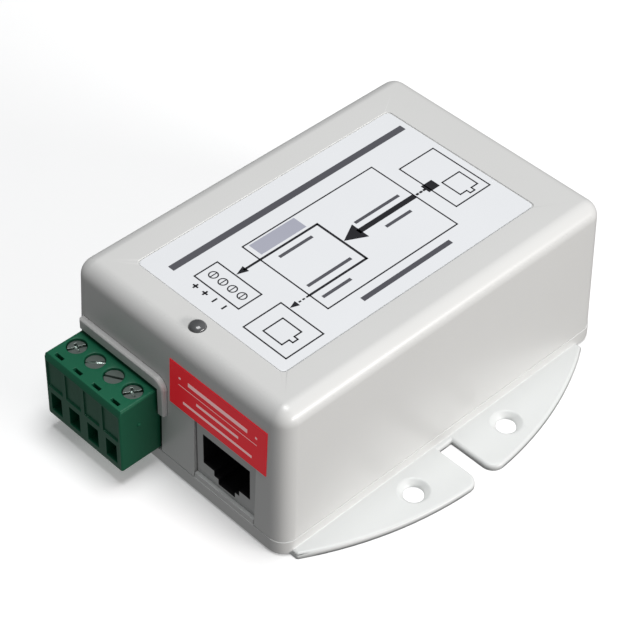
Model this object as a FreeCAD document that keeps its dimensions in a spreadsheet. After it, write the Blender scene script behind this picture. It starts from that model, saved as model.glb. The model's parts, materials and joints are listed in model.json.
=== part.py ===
import FreeCAD, Part
import math
import os
import Sketcher

# A two-part plastic case with screw-down wings holds a circuit board. One network jack sits in
# each short face, and a pluggable screw terminal sits beside the jack at the front.
# X runs across the case, Y towards the rear, Z up from the base, which rests on Z = 0.

os.makedirs("parts", exist_ok=True)
doc = FreeCAD.newDocument("poe_splitter")
sizes = doc.addObject("Spreadsheet::Sheet", "Sizes")

DRIVING_SIZES = [
    # Case: outer size at the base, draft in degrees, walls and the joint between cover and base
    ("case_width", 56.0),
    ("case_length", 83.0),
    ("case_height", 33.6),
    ("draft_angle", 1.8),
    ("wall_thickness", 2.0),
    ("floor_thickness", 1.8),
    ("corner_radius", 3.4),
    ("parting_height", 3.4),
    ("lip_height", 1.2),
    ("lip_thickness", 1.0),
    ("lip_clearance", 0.15),
    ("base_edge_break", 0.45),
    # Mounting wings: two arc segments on the long sides, each split by a notch
    ("wing_width", 11.5),
    ("wing_arc_radius", 75.0),
    ("wing_thickness", 1.3),
    ("wing_front_inset", 2.3),
    ("wing_rear_inset", 5.3),
    ("wing_edge_break", 0.4),
    ("notch_width", 3.4),
    ("notch_wall", 1.0),
    ("notch_corner_radius", 2.5),
    ("mount_hole_diameter", 3.8),
    ("mount_head_diameter", 6.0),
    ("mount_hole_offset", 4.9),
    ("mount_pitch_along", 24.6),
    # Case screws and their posts
    ("post_width", 5.4),
    ("post_inset_across", 4.6),
    ("front_post_inset", 20.0),
    ("rear_post_inset", 7.5),
    ("case_screw_radius", 1.2),
    ("case_screw_length", 9.0),
    ("case_screw_head_radius", 2.2),
    ("case_screw_head_height", 1.3),
    ("case_screw_play", 0.05),
    ("screw_recess_depth", 1.7),
    # Size of the case for which the insides are laid out: their places and outlines follow it
    ("layout_width", 56.0),
    ("layout_length", 83.0),
    # Labels
    ("label_side_margin", 9.4),
    ("label_front_margin", 8.8),
    ("label_rear_margin", 11.4),
    ("label_thickness", 0.15),
    ("label_recess", 0.25),
    ("label_gap", 0.2),
    ("label_corner_radius", 1.0),
    ("red_label_width", 24.4),
    ("red_label_height", 10.2),
    ("red_label_side_margin", 4.7),
    ("red_label_gap", 0.15),
    # Light pipe and its lamp
    ("light_pipe_radius", 1.55),
    ("light_pipe_rise", 0.8),
    ("light_pipe_play", 0.05),
    ("light_pipe_collar", 2.4),
    ("light_boss_height", 3.0),
    ("light_pipe_inset", 5.7),
    ("light_pipe_across", 0.0),
    ("lamp_length", 2.0),
    ("lamp_width", 1.3),
    ("lamp_height", 0.8),
    # Circuit board
    ("board_thickness", 1.6),
    ("board_standoff", 1.3),
    ("board_edge_gap", 0.3),
    ("standoff_width", 4.0),
    ("standoff_inset_across", 14.0),
    ("front_standoff_inset", 10.2),
    ("rear_standoff_inset", 15.2),
    # Network jacks: body, port, latch steps and the eight spring contacts
    ("jack_width", 15.2),
    ("jack_height", 12.8),
    ("jack_depth", 15.8),
    ("jack_recess", 0.75),
    ("jack_window_gap", 0.2),
    ("output_jack_inset", 15.1),
    ("input_jack_inset", 18.0),
    ("port_width", 11.9),
    ("port_height", 7.2),
    ("port_depth", 12.4),
    ("port_sill", 3.3),
    ("latch_step", 1.3),
    ("latch_outer_width", 6.4),
    ("latch_inner_width", 4.2),
    ("contact_pitch", 1.016),
    ("contact_thickness", 0.36),
    ("contact_width", 0.46),
    ("contact_sag", 2.5),
    # Pluggable terminal: pitch, plug block, plug nose and the header on the board
    ("terminal_inset", 13.7),
    ("pole_pitch", 5.08),
    ("pole_count", 4.0),
    ("plug_margin", 0.15),
    ("plug_height", 15.0),
    ("plug_drop", 1.0),
    ("plug_block_depth", 9.5),
    ("plug_bevel_height", 1.1),
    ("plug_bevel_depth", 0.6),
    ("nose_depth", 7.8),
    ("nose_height", 9.0),
    ("nose_rise", 2.7),
    ("nose_margin", 1.25),
    ("header_depth", 12.0),
    ("header_height", 12.2),
    ("header_wall", 1.0),
    ("header_back", 2.2),
    ("header_recess", 0.6),
    ("terminal_window_gap", 0.5),
    # Hood: a raised rim over the terminal and down its right side
    ("hood_reach", 0.45),
    ("hood_top_thickness", 2.3),
    ("hood_side_thickness", 1.5),
    ("hood_gap", 0.85),
    ("hood_leg_bottom", 13.4),
    ("hood_corner_radius", 2.4),
    # Each pole's wire entry, rising clamp and screw
    ("wire_hole_width", 2.9),
    ("wire_hole_height", 4.4),
    ("wire_hole_rise", 1.6),
    ("screw_setback", 5.5),
    ("screw_mouth_radius", 1.95),
    ("screw_head_radius", 1.8),
    ("screw_head_height", 2.2),
    ("screw_shank_radius", 1.25),
    ("screw_play", 0.08),
    ("screw_ledge", 0.8),
    ("clamp_width", 3.9),
    ("clamp_depth", 5.2),
    ("clamp_wall", 0.55),
    ("clamp_travel", 1.8),
    ("clamp_play", 0.12),
    ("busbar_thickness", 0.8),
    ("busbar_width", 2.5),
    ("busbar_play", 0.1),
    ("test_slot_setback", 1.55),
    ("test_slot_width", 2.1),
    ("pin_size", 1.0),
    ("pin_rise", 6.6),
    # Component legs, and the power transformer: bobbin, windings and core
    ("leg_reach", 0.9),
    ("leg_thickness", 0.25),
    ("transformer_across", -1.0),
    ("transformer_inset", 46.0),
    ("bobbin_width", 17.0),
    ("bobbin_depth", 14.0),
    ("bobbin_height", 11.2),
    ("bobbin_flange", 1.2),
    ("bobbin_tube_depth", 6.8),
    ("bobbin_tube_height", 5.6),
    ("bobbin_wall", 0.8),
    ("winding_depth", 11.2),
    ("winding_height", 9.2),
    ("winding_gap", 0.05),
    ("core_play", 0.1),
    ("core_height", 10.2),
    ("core_thickness", 2.4),
    ("bridge_thickness", 1.0),
    # Input capacitor, beside the input jack
    ("input_capacitor_across", 5.6),
    ("input_capacitor_inset", 10.0),
    ("input_capacitor_radius", 5.0),
    ("input_capacitor_height", 18.0),
]

# Board components: place across, distance from the front or rear end, width, depth, height, legs
BOARD_CHIPS = [
    ("data_transformer", 12.2, "front", 30.1, 16.0, 12.6, 5.8, 8),
    ("power_controller", -2.0, "front", 27.0, 6.4, 6.4, 1.1, 6),
    ("optocoupler", -11.5, "front", 26.0, 4.6, 6.5, 3.4, 2),
    ("bridge_rectifier_1", 7.5, "rear", 20.5, 6.6, 6.2, 2.5, 2),
    ("bridge_rectifier_2", 16.5, "rear", 20.5, 6.6, 6.2, 2.5, 2),
    ("switch_transistor", 17.0, "front", 45.5, 6.6, 6.1, 2.4, 3),
    ("output_rectifier", 17.0, "rear", 28.7, 6.6, 5.4, 2.4, 2),
]
# Round components: place across, distance from the front or rear end, radius, height
BOARD_CANS = [
    ("output_inductor", -17.0, "front", 33.0, 4.0, 7.0),
    ("output_capacitor_1", -18.0, "front", 43.0, 4.0, 16.0),
    ("output_capacitor_2", -18.0, "front", 52.0, 4.0, 16.0),
]
# A row of small capacitors: first place across, pitch, distance from the front end, width, depth, height
CHIP_CAPACITORS = ("chip_capacitor", -6.0, 3.2, 21.2, 1.6, 1.5, 0.9)

for label, across, end, inset, width, depth, height, legs in BOARD_CHIPS:
    DRIVING_SIZES += [(f"{label}_across", across), (f"{label}_inset", inset), (f"{label}_width", width),
                      (f"{label}_depth", depth), (f"{label}_height", height)]
for label, across, end, inset, radius, height in BOARD_CANS:
    DRIVING_SIZES += [(f"{label}_across", across), (f"{label}_inset", inset), (f"{label}_radius", radius),
                      (f"{label}_height", height)]
for part, value in zip(("across", "pitch", "inset", "width", "depth", "height"), CHIP_CAPACITORS[1:]):
    DRIVING_SIZES.append((f"chip_capacitor_{part}", value))

for row, (alias, value) in enumerate(DRIVING_SIZES, start=1):
    sizes.set(f"A{row}", alias)
    sizes.set(f"B{row}", str(value))
    sizes.setAlias(f"B{row}", alias)
doc.recompute()

# Places that several pieces share, as expressions on the named sizes
TAN_DRAFT = "tan(Sizes.draft_angle)"
FRONT = "(-Sizes.case_length / 2)"
REAR = "(Sizes.case_length / 2)"
WING_FRONT = f"({FRONT} + Sizes.wing_front_inset)"
WING_REAR = f"({REAR} - Sizes.wing_rear_inset)"
WING_CENTRE = f"(({WING_FRONT} + {WING_REAR}) / 2)"
WING_REACH = "(Sizes.case_width / 2 + Sizes.wing_width)"
POST_X = "(Sizes.case_width / 2 - Sizes.post_inset_across)"
POST_Y = (f"({FRONT} + Sizes.front_post_inset)", f"({REAR} - Sizes.rear_post_inset)")
LABEL_HALF = "(Sizes.case_width / 2 - Sizes.label_side_margin)"
LABEL_FRONT = f"({FRONT} + Sizes.label_front_margin)"
LABEL_REAR = f"({REAR} - Sizes.label_rear_margin)"
INPUT_X = "(-Sizes.case_width / 2 + Sizes.input_jack_inset)"
TERMINAL_X = "(-Sizes.case_width / 2 + Sizes.terminal_inset)"
RIM = "(Sizes.wall_thickness + Sizes.lip_clearance + Sizes.lip_thickness)"
BOARD_UNDER = "(Sizes.floor_thickness + Sizes.board_standoff)"
BOARD_TOP = f"({BOARD_UNDER} + Sizes.board_thickness)"
JACK_TOP = f"({BOARD_TOP} + Sizes.jack_height)"
WINDOW_TOP = f"({JACK_TOP} + Sizes.jack_window_gap)"
PORT_FLOOR = f"({BOARD_TOP} + Sizes.port_sill)"
PORT_ROOF = f"({PORT_FLOOR} + Sizes.port_height)"
ROOF_UNDER = "(Sizes.case_height - Sizes.wall_thickness)"
PLUG_HALF = "(Sizes.pole_count * Sizes.pole_pitch / 2 + Sizes.plug_margin)"
PLUG_LEFT = f"({TERMINAL_X} - {PLUG_HALF})"
PLUG_RIGHT = f"({TERMINAL_X} + {PLUG_HALF})"
HOOD_RIGHT = f"({PLUG_RIGHT} + Sizes.terminal_window_gap + Sizes.hood_side_thickness)"
JACK_TAKEN = f"(Sizes.terminal_inset + {PLUG_HALF} + Sizes.jack_width + Sizes.wall_thickness)"
JACK_ROOM = f"((Sizes.case_width - {JACK_TAKEN}) / (Sizes.layout_width - {JACK_TAKEN}))"
JACK_EDGE = "(Sizes.wall_thickness + Sizes.jack_width / 2)"
OUTPUT_X = f"(Sizes.case_width / 2 - {JACK_EDGE} - (Sizes.output_jack_inset - {JACK_EDGE}) * {JACK_ROOM})"
LIGHT_X = f"(({PLUG_RIGHT} + {OUTPUT_X} - Sizes.jack_width / 2) / 2 + Sizes.light_pipe_across)"
LABEL_TAKEN = (f"(Sizes.terminal_inset + {PLUG_HALF} + Sizes.terminal_window_gap"
               " + Sizes.hood_side_thickness + Sizes.red_label_side_margin)")
LABEL_ROOM = f"((Sizes.case_width - {LABEL_TAKEN}) / (Sizes.layout_width - {LABEL_TAKEN}))"
ACROSS = "(Sizes.case_width / Sizes.layout_width)"
ALONG = "(Sizes.case_length / Sizes.layout_length)"
PLUG_BOTTOM = f"({BOARD_TOP} - Sizes.plug_drop)"
PLUG_TOP = f"({PLUG_BOTTOM} + Sizes.plug_height)"
HEADER_MOUTH = f"({FRONT} + Sizes.header_recess + {BOARD_TOP} * {TAN_DRAFT})"
PLUG_FRONT = f"({HEADER_MOUTH} - Sizes.plug_block_depth)"
SCREW_Y = f"({PLUG_FRONT} + Sizes.screw_setback)"
WIRE_FLOOR = f"({PLUG_BOTTOM} + Sizes.wire_hole_rise)"
WIRE_ROOF = f"({WIRE_FLOOR} + Sizes.wire_hole_height)"
BUSBAR_TOP = f"({WIRE_ROOF} + Sizes.busbar_play + Sizes.busbar_thickness)"
CLAMP_TOP = f"({BUSBAR_TOP} + Sizes.clamp_travel + Sizes.busbar_play + Sizes.clamp_wall * 1.5)"
CLAMP_BOTTOM = f"({WIRE_FLOOR} - Sizes.clamp_wall)"
POCKET_TOP = f"({CLAMP_TOP} + Sizes.clamp_travel + Sizes.clamp_play)"
HEAD_UNDER = f"({POCKET_TOP} + Sizes.screw_ledge)"


def wall_x(height):
    return f"(Sizes.case_width / 2 - ({height}) * {TAN_DRAFT})"


def wall_y(height):
    return f"(Sizes.case_length / 2 - ({height}) * {TAN_DRAFT})"


def pole_x(pole):
    return f"({TERMINAL_X} + ({pole} - (Sizes.pole_count - 1) / 2) * Sizes.pole_pitch)"


nodes = []


def keep(label, item):
    item.Label = label
    nodes.append(item)
    return item


def new_body(name):
    body = doc.addObject("PartDesign::Body", name)
    body.AllowCompound = True
    return body


def origin_item(body, role):
    return next(item for item in body.Origin.OriginFeatures if item.Role == role)


def new_sketch(body, name, role, offset="0"):
    sketch = body.newObject("Sketcher::SketchObject", name)
    sketch.AttachmentSupport = [(origin_item(body, role), "")]
    sketch.MapMode = "FlatFace"
    sketch.setExpression("AttachmentOffset.Base.z", offset)
    return sketch


def pin_point(sketch, geometry, vertex, x, y, guess):
    for kind, expression, start in (("DistanceX", x, guess.x), ("DistanceY", y, guess.y)):
        index = sketch.addConstraint(Sketcher.Constraint(kind, -1, 1, geometry, vertex, start))
        sketch.setExpression(f"Constraints[{index}]", expression)


def polygon(sketch, points):
    count = len(points)
    first = sketch.GeometryCount
    guesses = [FreeCAD.Vector(10 * math.cos(2 * math.pi * n / count),
                              10 * math.sin(2 * math.pi * n / count), 0) for n in range(count)]
    for n in range(count):
        sketch.addGeometry(Part.LineSegment(guesses[n], guesses[(n + 1) % count]), False)
    for n in range(count):
        following = first + (n + 1) % count
        sketch.addConstraint(Sketcher.Constraint("Coincident", first + n, 2, following, 1))
    for n, (x, y) in enumerate(points):
        pin_point(sketch, first + n, 1, x, y, guesses[n])


def rectangle(sketch, left, right, low, high):
    polygon(sketch, [(left, low), (right, low), (right, high), (left, high)])


def circle(sketch, x, y, radius):
    index = sketch.addGeometry(Part.Circle(FreeCAD.Vector(1, 1, 0), FreeCAD.Vector(0, 0, 1), 1), False)
    pin_point(sketch, index, 3, x, y, FreeCAD.Vector(1, 1, 0))
    constraint = sketch.addConstraint(Sketcher.Constraint("Radius", index, 1))
    sketch.setExpression(f"Constraints[{constraint}]", radius)


def square(sketch, x, y, half):
    rectangle(sketch, f"{x} - {half}", f"{x} + {half}", f"{y} - {half}", f"{y} + {half}")


def pad(body, name, sketch, length, taper="0", backwards=False):
    feature = body.newObject("PartDesign::Pad", name)
    feature.Profile = sketch
    feature.Reversed = backwards
    feature.setExpression("Length", length)
    feature.setExpression("TaperAngle", taper)
    doc.recompute()
    return feature


def pocket(body, name, sketch, length, taper="0", backwards=False):
    feature = body.newObject("PartDesign::Pocket", name)
    feature.Profile = sketch
    feature.Reversed = backwards
    feature.setExpression("Length", length)
    feature.setExpression("TaperAngle", taper)
    before = body.Shape.Volume if body.Tip else 0
    doc.recompute()
    if feature.Shape.Volume >= before:
        print("pocket removed nothing:", name)
    return feature


def spin(body, name, sketch, cut=False, role="Z_Axis"):
    kind = "PartDesign::Groove" if cut else "PartDesign::Revolution"
    feature = body.newObject(kind, name)
    feature.Profile = sketch
    feature.ReferenceAxis = (origin_item(body, role), [""])
    feature.Angle = 360
    doc.recompute()
    return feature


def repeat(body, name, features, role, spacing, count, backwards=False):
    pattern = body.newObject("PartDesign::LinearPattern", name)
    pattern.Originals = features
    pattern.Direction = (origin_item(body, role), [""])
    pattern.Reversed = backwards
    pattern.setExpression("Length", f"({spacing}) * ({count} - 1)")
    pattern.setExpression("Occurrences", count)
    body.Tip = pattern
    doc.recompute()
    return pattern


def mirror(body, name, features, role):
    twin = body.newObject("PartDesign::Mirrored", name)
    twin.Originals = features
    twin.MirrorPlane = (origin_item(body, role), [""])
    body.Tip = twin
    doc.recompute()
    return twin


def edges_where(shape, test):
    return [f"Edge{n}" for n, edge in enumerate(shape.Edges, start=1) if test(edge)]


def fillet(body, name, radius, test):
    doc.recompute()
    base = body.Tip
    edges = edges_where(base.Shape, test)
    feature = body.newObject("PartDesign::Fillet", name)
    feature.Base = (base, edges)
    feature.setExpression("Radius", radius)
    doc.recompute()
    return feature


def chamfer(body, name, size, test):
    doc.recompute()
    base = body.Tip
    feature = body.newObject("PartDesign::Chamfer", name)
    feature.Base = (base, edges_where(base.Shape, test))
    feature.setExpression("Size", size)
    doc.recompute()
    return feature


def draft_sides(body, name, block):
    """Leans the upright faces of a block inwards by the draft angle, from their full size at Z = 0."""
    sides = [f"Face{n}" for n, face in enumerate(block.Shape.Faces, start=1)
             if face.BoundBox.ZLength > 0.1]
    feature = body.newObject("PartDesign::Draft", name)
    feature.Base = (block, sides)
    feature.NeutralPlane = (origin_item(body, "XY_Plane"), [""])
    feature.setExpression("Angle", "Sizes.draft_angle")
    feature.Reversed = False
    doc.recompute()
    return feature


def spans(edge, low, high):
    box = edge.BoundBox
    return box.ZMin < low + 0.01 and box.ZMax > high - 0.01


def at_height(edge, height):
    box = edge.BoundBox
    return abs(box.ZMin - height) < 0.01 and abs(box.ZMax - height) < 0.01


def block(name, left, right, front, rear, low, high):
    item = doc.addObject("Part::Box", name)
    item.setExpression("Length", f"({right}) - ({left})")
    item.setExpression("Width", f"({rear}) - ({front})")
    item.setExpression("Height", f"({high}) - ({low})")
    item.setExpression("Placement.Base.x", left)
    item.setExpression("Placement.Base.y", front)
    item.setExpression("Placement.Base.z", low)
    return item


def rod(name, x, y, low, high, radius):
    item = doc.addObject("Part::Cylinder", name)
    item.setExpression("Radius", radius)
    item.setExpression("Height", f"({high}) - ({low})")
    item.setExpression("Placement.Base.x", x)
    item.setExpression("Placement.Base.y", y)
    item.setExpression("Placement.Base.z", low)
    return item


def fuse(name, items):
    item = doc.addObject("Part::MultiFuse", name)
    item.Shapes = items
    return item


def cut(name, base, tool):
    item = doc.addObject("Part::Cut", name)
    item.Base = base
    item.Tool = tool
    return item


def group(name, items):
    item = doc.addObject("Part::Compound", name)
    item.Links = items
    return item


def cover():
    """Upper shell: drafted walls, soft edges, label recess, windows, hood and screw posts."""
    body = new_body("Cover")
    low = "Sizes.parting_height"
    outline = new_sketch(body, "CoverOutline", "XY_Plane", low)
    rectangle(outline, "-Sizes.case_width / 2", "Sizes.case_width / 2", FRONT, REAR)
    draft_sides(body, "CoverDraft", pad(body, "CoverBlock", outline, f"Sizes.case_height - {low}"))
    base = sizes.parting_height
    top = sizes.case_height
    fillet(body, "CoverEdges", "Sizes.corner_radius",
           lambda edge: spans(edge, base, top) or at_height(edge, top))
    rounded = body.Tip
    shell = body.newObject("PartDesign::Thickness", "CoverShell")
    shell.Base = (rounded, [f"Face{n}" for n, face in enumerate(rounded.Shape.Faces, start=1)
                            if at_height(face, base)])
    shell.Reversed = True
    shell.setExpression("Value", "Sizes.wall_thickness")
    doc.recompute()

    posts = new_sketch(body, "CoverPosts", "XY_Plane", low)
    pilots = new_sketch(body, "CoverPilots", "XY_Plane", low)
    for side in ("-", ""):
        for along in POST_Y:
            square(posts, f"{side}{POST_X}", along, "Sizes.post_width / 2")
            circle(pilots, f"{side}{POST_X}", along, "Sizes.case_screw_radius + Sizes.case_screw_play")
    pad(body, "CoverPostPad", posts, f"{ROOF_UNDER} + Sizes.wall_thickness / 10 - {low}")
    pocket(body, "CoverPilotHoles", pilots, "Sizes.case_screw_length + 1", "0", True)

    hood = new_sketch(body, "HoodOutline", "XZ_Plane", "Sizes.case_length / 2 - Sizes.wall_thickness / 2")
    hood_top = f"({PLUG_TOP} + Sizes.hood_gap + Sizes.hood_top_thickness)"
    rectangle(hood, PLUG_LEFT, HOOD_RIGHT, "Sizes.hood_leg_bottom", hood_top)
    pad(body, "HoodPad", hood, "Sizes.wall_thickness / 2 + Sizes.hood_reach")
    leg_side = (-sizes.case_width / 2 + sizes.terminal_inset + sizes.pole_count * sizes.pole_pitch / 2
                + sizes.plug_margin + sizes.terminal_window_gap + sizes.hood_side_thickness)
    face = -sizes.case_length / 2
    hood_end = face - sizes.hood_reach
    fillet(body, "HoodCorner", "Sizes.hood_corner_radius",
           lambda edge: edge.BoundBox.YMin < hood_end + 0.01 and edge.BoundBox.YLength > 0.5
           and abs(edge.CenterOfMass.x - leg_side) < 0.1
           and edge.CenterOfMass.z > sizes.hood_leg_bottom + 1)
    chamfer(body, "HoodEdge", "Sizes.hood_reach * 0.6",
            lambda edge: abs(edge.BoundBox.YMin - hood_end) < 0.01
            and abs(edge.BoundBox.YMax - hood_end) < 0.01
            and edge.CenterOfMass.z > sizes.hood_leg_bottom + 0.5)

    mouth = new_sketch(body, "TerminalWindow", "XZ_Plane", "Sizes.case_length / 2 - Sizes.wall_thickness * 2")
    rectangle(mouth, f"{PLUG_LEFT} - Sizes.terminal_window_gap", f"{PLUG_RIGHT} + Sizes.terminal_window_gap",
              f"{low} - 1", f"{PLUG_TOP} + Sizes.hood_gap")
    pocket(body, "TerminalWindowCut", mouth, "Sizes.wall_thickness * 4", "0", True)
    for name, centre, end in (("Output", OUTPUT_X, False), ("Input", INPUT_X, True)):
        sign = "-" if end else ""
        window = new_sketch(body, f"{name}Window", "XZ_Plane",
                            f"{sign}(Sizes.case_length / 2 - Sizes.wall_thickness * 2)")
        reach = "(Sizes.jack_width / 2 + Sizes.jack_window_gap)"
        rectangle(window, f"{centre} - {reach}", f"{centre} + {reach}", f"{low} - 1", WINDOW_TOP)
        pocket(body, f"{name}WindowCut", window, "Sizes.wall_thickness * 4", "0", not end)

    recess = new_sketch(body, "LabelRecess", "XY_Plane", "Sizes.case_height - Sizes.label_recess")
    rectangle(recess, f"-{LABEL_HALF} - Sizes.label_gap", f"{LABEL_HALF} + Sizes.label_gap",
              f"{LABEL_FRONT} - Sizes.label_gap", f"{LABEL_REAR} + Sizes.label_gap")
    pocket(body, "LabelRecessCut", recess, "1", "0", True)
    floor = top - sizes.label_recess
    fillet(body, "LabelRecessCorners", "Sizes.label_corner_radius",
           lambda edge: spans(edge, floor, top) and edge.Length < sizes.label_recess * 1.1)
    boss = new_sketch(body, "LightBoss", "XY_Plane", f"{ROOF_UNDER} - Sizes.light_boss_height")
    square(boss, LIGHT_X, f"({FRONT} + Sizes.light_pipe_inset)", "Sizes.light_pipe_collar")
    pad(body, "LightBossPad", boss, "Sizes.light_boss_height + Sizes.wall_thickness / 2")
    light = new_sketch(body, "LightHole", "XY_Plane", "Sizes.case_height")
    circle(light, LIGHT_X, f"{FRONT} + Sizes.light_pipe_inset",
           "Sizes.light_pipe_radius + Sizes.light_pipe_play")
    pocket(body, "LightHoleCut", light, "Sizes.wall_thickness + Sizes.light_boss_height + 1")
    return keep("cover", body)


def base():
    """Lower tray: floor, locating lip, board standoffs, screw posts and the two mounting wings."""
    body = new_body("Base")
    outline = new_sketch(body, "BaseOutline", "XY_Plane")
    rectangle(outline, "-Sizes.case_width / 2", "Sizes.case_width / 2", FRONT, REAR)
    pad(body, "BaseBlock", outline, "Sizes.parting_height")
    height = sizes.parting_height
    fillet(body, "BaseCorners", "Sizes.corner_radius", lambda edge: spans(edge, 0, height))
    chamfer(body, "BaseLowerEdge", "Sizes.base_edge_break", lambda edge: at_height(edge, 0))

    lip = new_sketch(body, "BaseLip", "XY_Plane", "Sizes.parting_height")
    lip_x = f"({wall_x('Sizes.parting_height')} - Sizes.wall_thickness - Sizes.lip_clearance)"
    lip_y = f"({wall_y('Sizes.parting_height')} - Sizes.wall_thickness - Sizes.lip_clearance)"
    rectangle(lip, f"-{lip_x}", lip_x, f"-{lip_y}", lip_y)
    pad(body, "BaseLipPad", lip, "Sizes.lip_height")
    top = sizes.parting_height + sizes.lip_height
    fillet(body, "BaseLipCorners", "Sizes.corner_radius - Sizes.wall_thickness",
           lambda edge: spans(edge, height, top) and not spans(edge, 0, height))
    tray = new_sketch(body, "BaseTray", "XY_Plane", "Sizes.floor_thickness")
    tray_x = f"({wall_x('Sizes.parting_height')} - {RIM})"
    tray_y = f"({wall_y('Sizes.parting_height')} - {RIM})"
    rectangle(tray, f"-{tray_x}", tray_x, f"-{tray_y}", tray_y)
    pocket(body, "BaseTrayCut", tray, "Sizes.parting_height + Sizes.lip_height", "0", True)

    relief = new_sketch(body, "LipRelief", "XY_Plane", "Sizes.parting_height")
    for side in ("-", ""):
        for along in POST_Y:
            square(relief, f"{side}{POST_X}", along, "(Sizes.post_width / 2 + Sizes.lip_clearance)")
    pocket(body, "LipReliefCut", relief, "Sizes.lip_height + 1", "0", True)

    for name, centre, front in (("Output", OUTPUT_X, True), ("Input", INPUT_X, False)):
        tongue = new_sketch(body, f"{name}Sill", "XY_Plane", "Sizes.floor_thickness")
        near = f"({wall_y(BOARD_TOP)})"
        far = f"({wall_y(BOARD_TOP)} - Sizes.wall_thickness)"
        low, high = (f"-{near}", f"-{far}") if front else (far, near)
        rectangle(tongue, f"{centre} - Sizes.jack_width / 2", f"{centre} + Sizes.jack_width / 2", low, high)
        pad(body, f"{name}SillPad", tongue, f"{BOARD_TOP} - Sizes.floor_thickness - Sizes.case_screw_play")

    stands = new_sketch(body, "BoardStandoffs", "XY_Plane", "Sizes.floor_thickness / 2")
    for side in ("-", ""):
        for along in POST_Y:
            square(stands, f"{side}{POST_X}", along, "Sizes.post_width / 2")
    pad(body, "BasePosts", stands, "Sizes.parting_height - Sizes.floor_thickness / 2")
    feet = new_sketch(body, "BoardFeet", "XY_Plane", "Sizes.floor_thickness / 2")
    for side in ("-", ""):
        for along in (f"{FRONT} + Sizes.front_standoff_inset", f"{REAR} - Sizes.rear_standoff_inset"):
            square(feet, f"{side}(Sizes.case_width / 2 - Sizes.standoff_inset_across)", f"({along})",
                   "Sizes.standoff_width / 2")
    pad(body, "BoardFeetPad", feet, f"{BOARD_UNDER} - Sizes.floor_thickness / 2")

    wing = new_sketch(body, "WingOutline", "XY_Plane")
    inner = "Sizes.case_width / 2 - Sizes.wall_thickness"
    centre_x = f"{WING_REACH} - Sizes.wing_arc_radius"
    root = sizes.case_width / 2 - sizes.wall_thickness
    front_end = -sizes.case_length / 2 + sizes.wing_front_inset
    rear_end = sizes.case_length / 2 - sizes.wing_rear_inset
    half_span = (rear_end - front_end) / 2
    bend_x = sizes.case_width / 2 + sizes.wing_width - sizes.wing_arc_radius
    tip_x = bend_x + math.sqrt(sizes.wing_arc_radius ** 2 - half_span ** 2)
    guess_front = FreeCAD.Vector(tip_x, front_end, 0)
    guess_rear = FreeCAD.Vector(tip_x, rear_end, 0)
    guess_inner_front = FreeCAD.Vector(root, front_end, 0)
    guess_inner_rear = FreeCAD.Vector(root, rear_end, 0)
    guess_centre = FreeCAD.Vector(bend_x, (front_end + rear_end) / 2, 0)
    wing.addGeometry(Part.LineSegment(guess_inner_front, guess_front), False)
    arc = Part.Circle(guess_centre, FreeCAD.Vector(0, 0, 1), sizes.wing_arc_radius)
    half_angle = math.asin(half_span / sizes.wing_arc_radius)
    wing.addGeometry(Part.ArcOfCircle(arc, -half_angle, half_angle), False)
    wing.addGeometry(Part.LineSegment(guess_rear, guess_inner_rear), False)
    wing.addGeometry(Part.LineSegment(guess_inner_rear, guess_inner_front), False)
    for first, second in ((0, 1), (1, 2), (2, 3), (3, 0)):
        wing.addConstraint(Sketcher.Constraint("Coincident", first, 2, second, 1))
    wing.addConstraint(Sketcher.Constraint("Horizontal", 0))
    wing.addConstraint(Sketcher.Constraint("Horizontal", 2))
    pin_point(wing, 1, 3, centre_x, WING_CENTRE, guess_centre)
    pin_point(wing, 0, 1, inner, WING_FRONT, guess_inner_front)
    pin_point(wing, 3, 1, inner, WING_REAR, guess_inner_rear)
    bend = wing.addConstraint(Sketcher.Constraint("Radius", 1, sizes.wing_arc_radius))
    wing.setExpression(f"Constraints[{bend}]", "Sizes.wing_arc_radius")
    wing_pad = pad(body, "WingPad", wing, "Sizes.wing_thickness")
    notch = new_sketch(body, "WingNotch", "XY_Plane", "Sizes.wing_thickness")
    rectangle(notch, "Sizes.case_width / 2 + Sizes.notch_wall", f"{WING_REACH} + 2",
              f"{WING_CENTRE} - Sizes.notch_width / 2", f"{WING_CENTRE} + Sizes.notch_width / 2")
    notch_cut = pocket(body, "WingNotchCut", notch, "Sizes.wing_thickness + 1")
    holes = new_sketch(body, "MountHoles", "XY_Plane", "Sizes.wing_thickness")
    for end in ("-", "+"):
        circle(holes, "Sizes.case_width / 2 + Sizes.mount_hole_offset",
               f"{WING_CENTRE} {end} Sizes.mount_pitch_along / 2", "Sizes.mount_hole_diameter / 2")
    drilled = body.newObject("PartDesign::Hole", "MountHoleCut")
    drilled.Profile = holes
    drilled.DepthType = "ThroughAll"
    drilled.ThreadType = "None"
    drilled.HoleCutType = "Countersink"
    drilled.HoleCutCustomValues = True
    drilled.setExpression("Diameter", "Sizes.mount_hole_diameter")
    drilled.setExpression("HoleCutDiameter", "Sizes.mount_head_diameter")
    drilled.HoleCutCountersinkAngle = 90
    doc.recompute()
    mirror(body, "WingMirror", [wing_pad, notch_cut, drilled], "YZ_Plane")

    reach = sizes.case_width / 2 + sizes.wing_width
    thick = sizes.wing_thickness
    side = sizes.case_width / 2
    fillet(body, "NotchCorners", "Sizes.notch_corner_radius",
           lambda edge: spans(edge, 0, thick) and edge.BoundBox.ZMax < thick + 0.01
           and abs(edge.CenterOfMass.x) > reach - 0.5 and edge.BoundBox.XLength < 0.01)
    chamfer(body, "WingTopEdge", "Sizes.wing_edge_break",
            lambda edge: at_height(edge, thick) and abs(edge.CenterOfMass.x) > side + 0.2
            and (edge.Curve.TypeId != "Part::GeomCircle" or edge.Curve.Radius > 20
                 or edge.Curve.Radius < 2.8 and abs(edge.CenterOfMass.x) > reach - 3))

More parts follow.
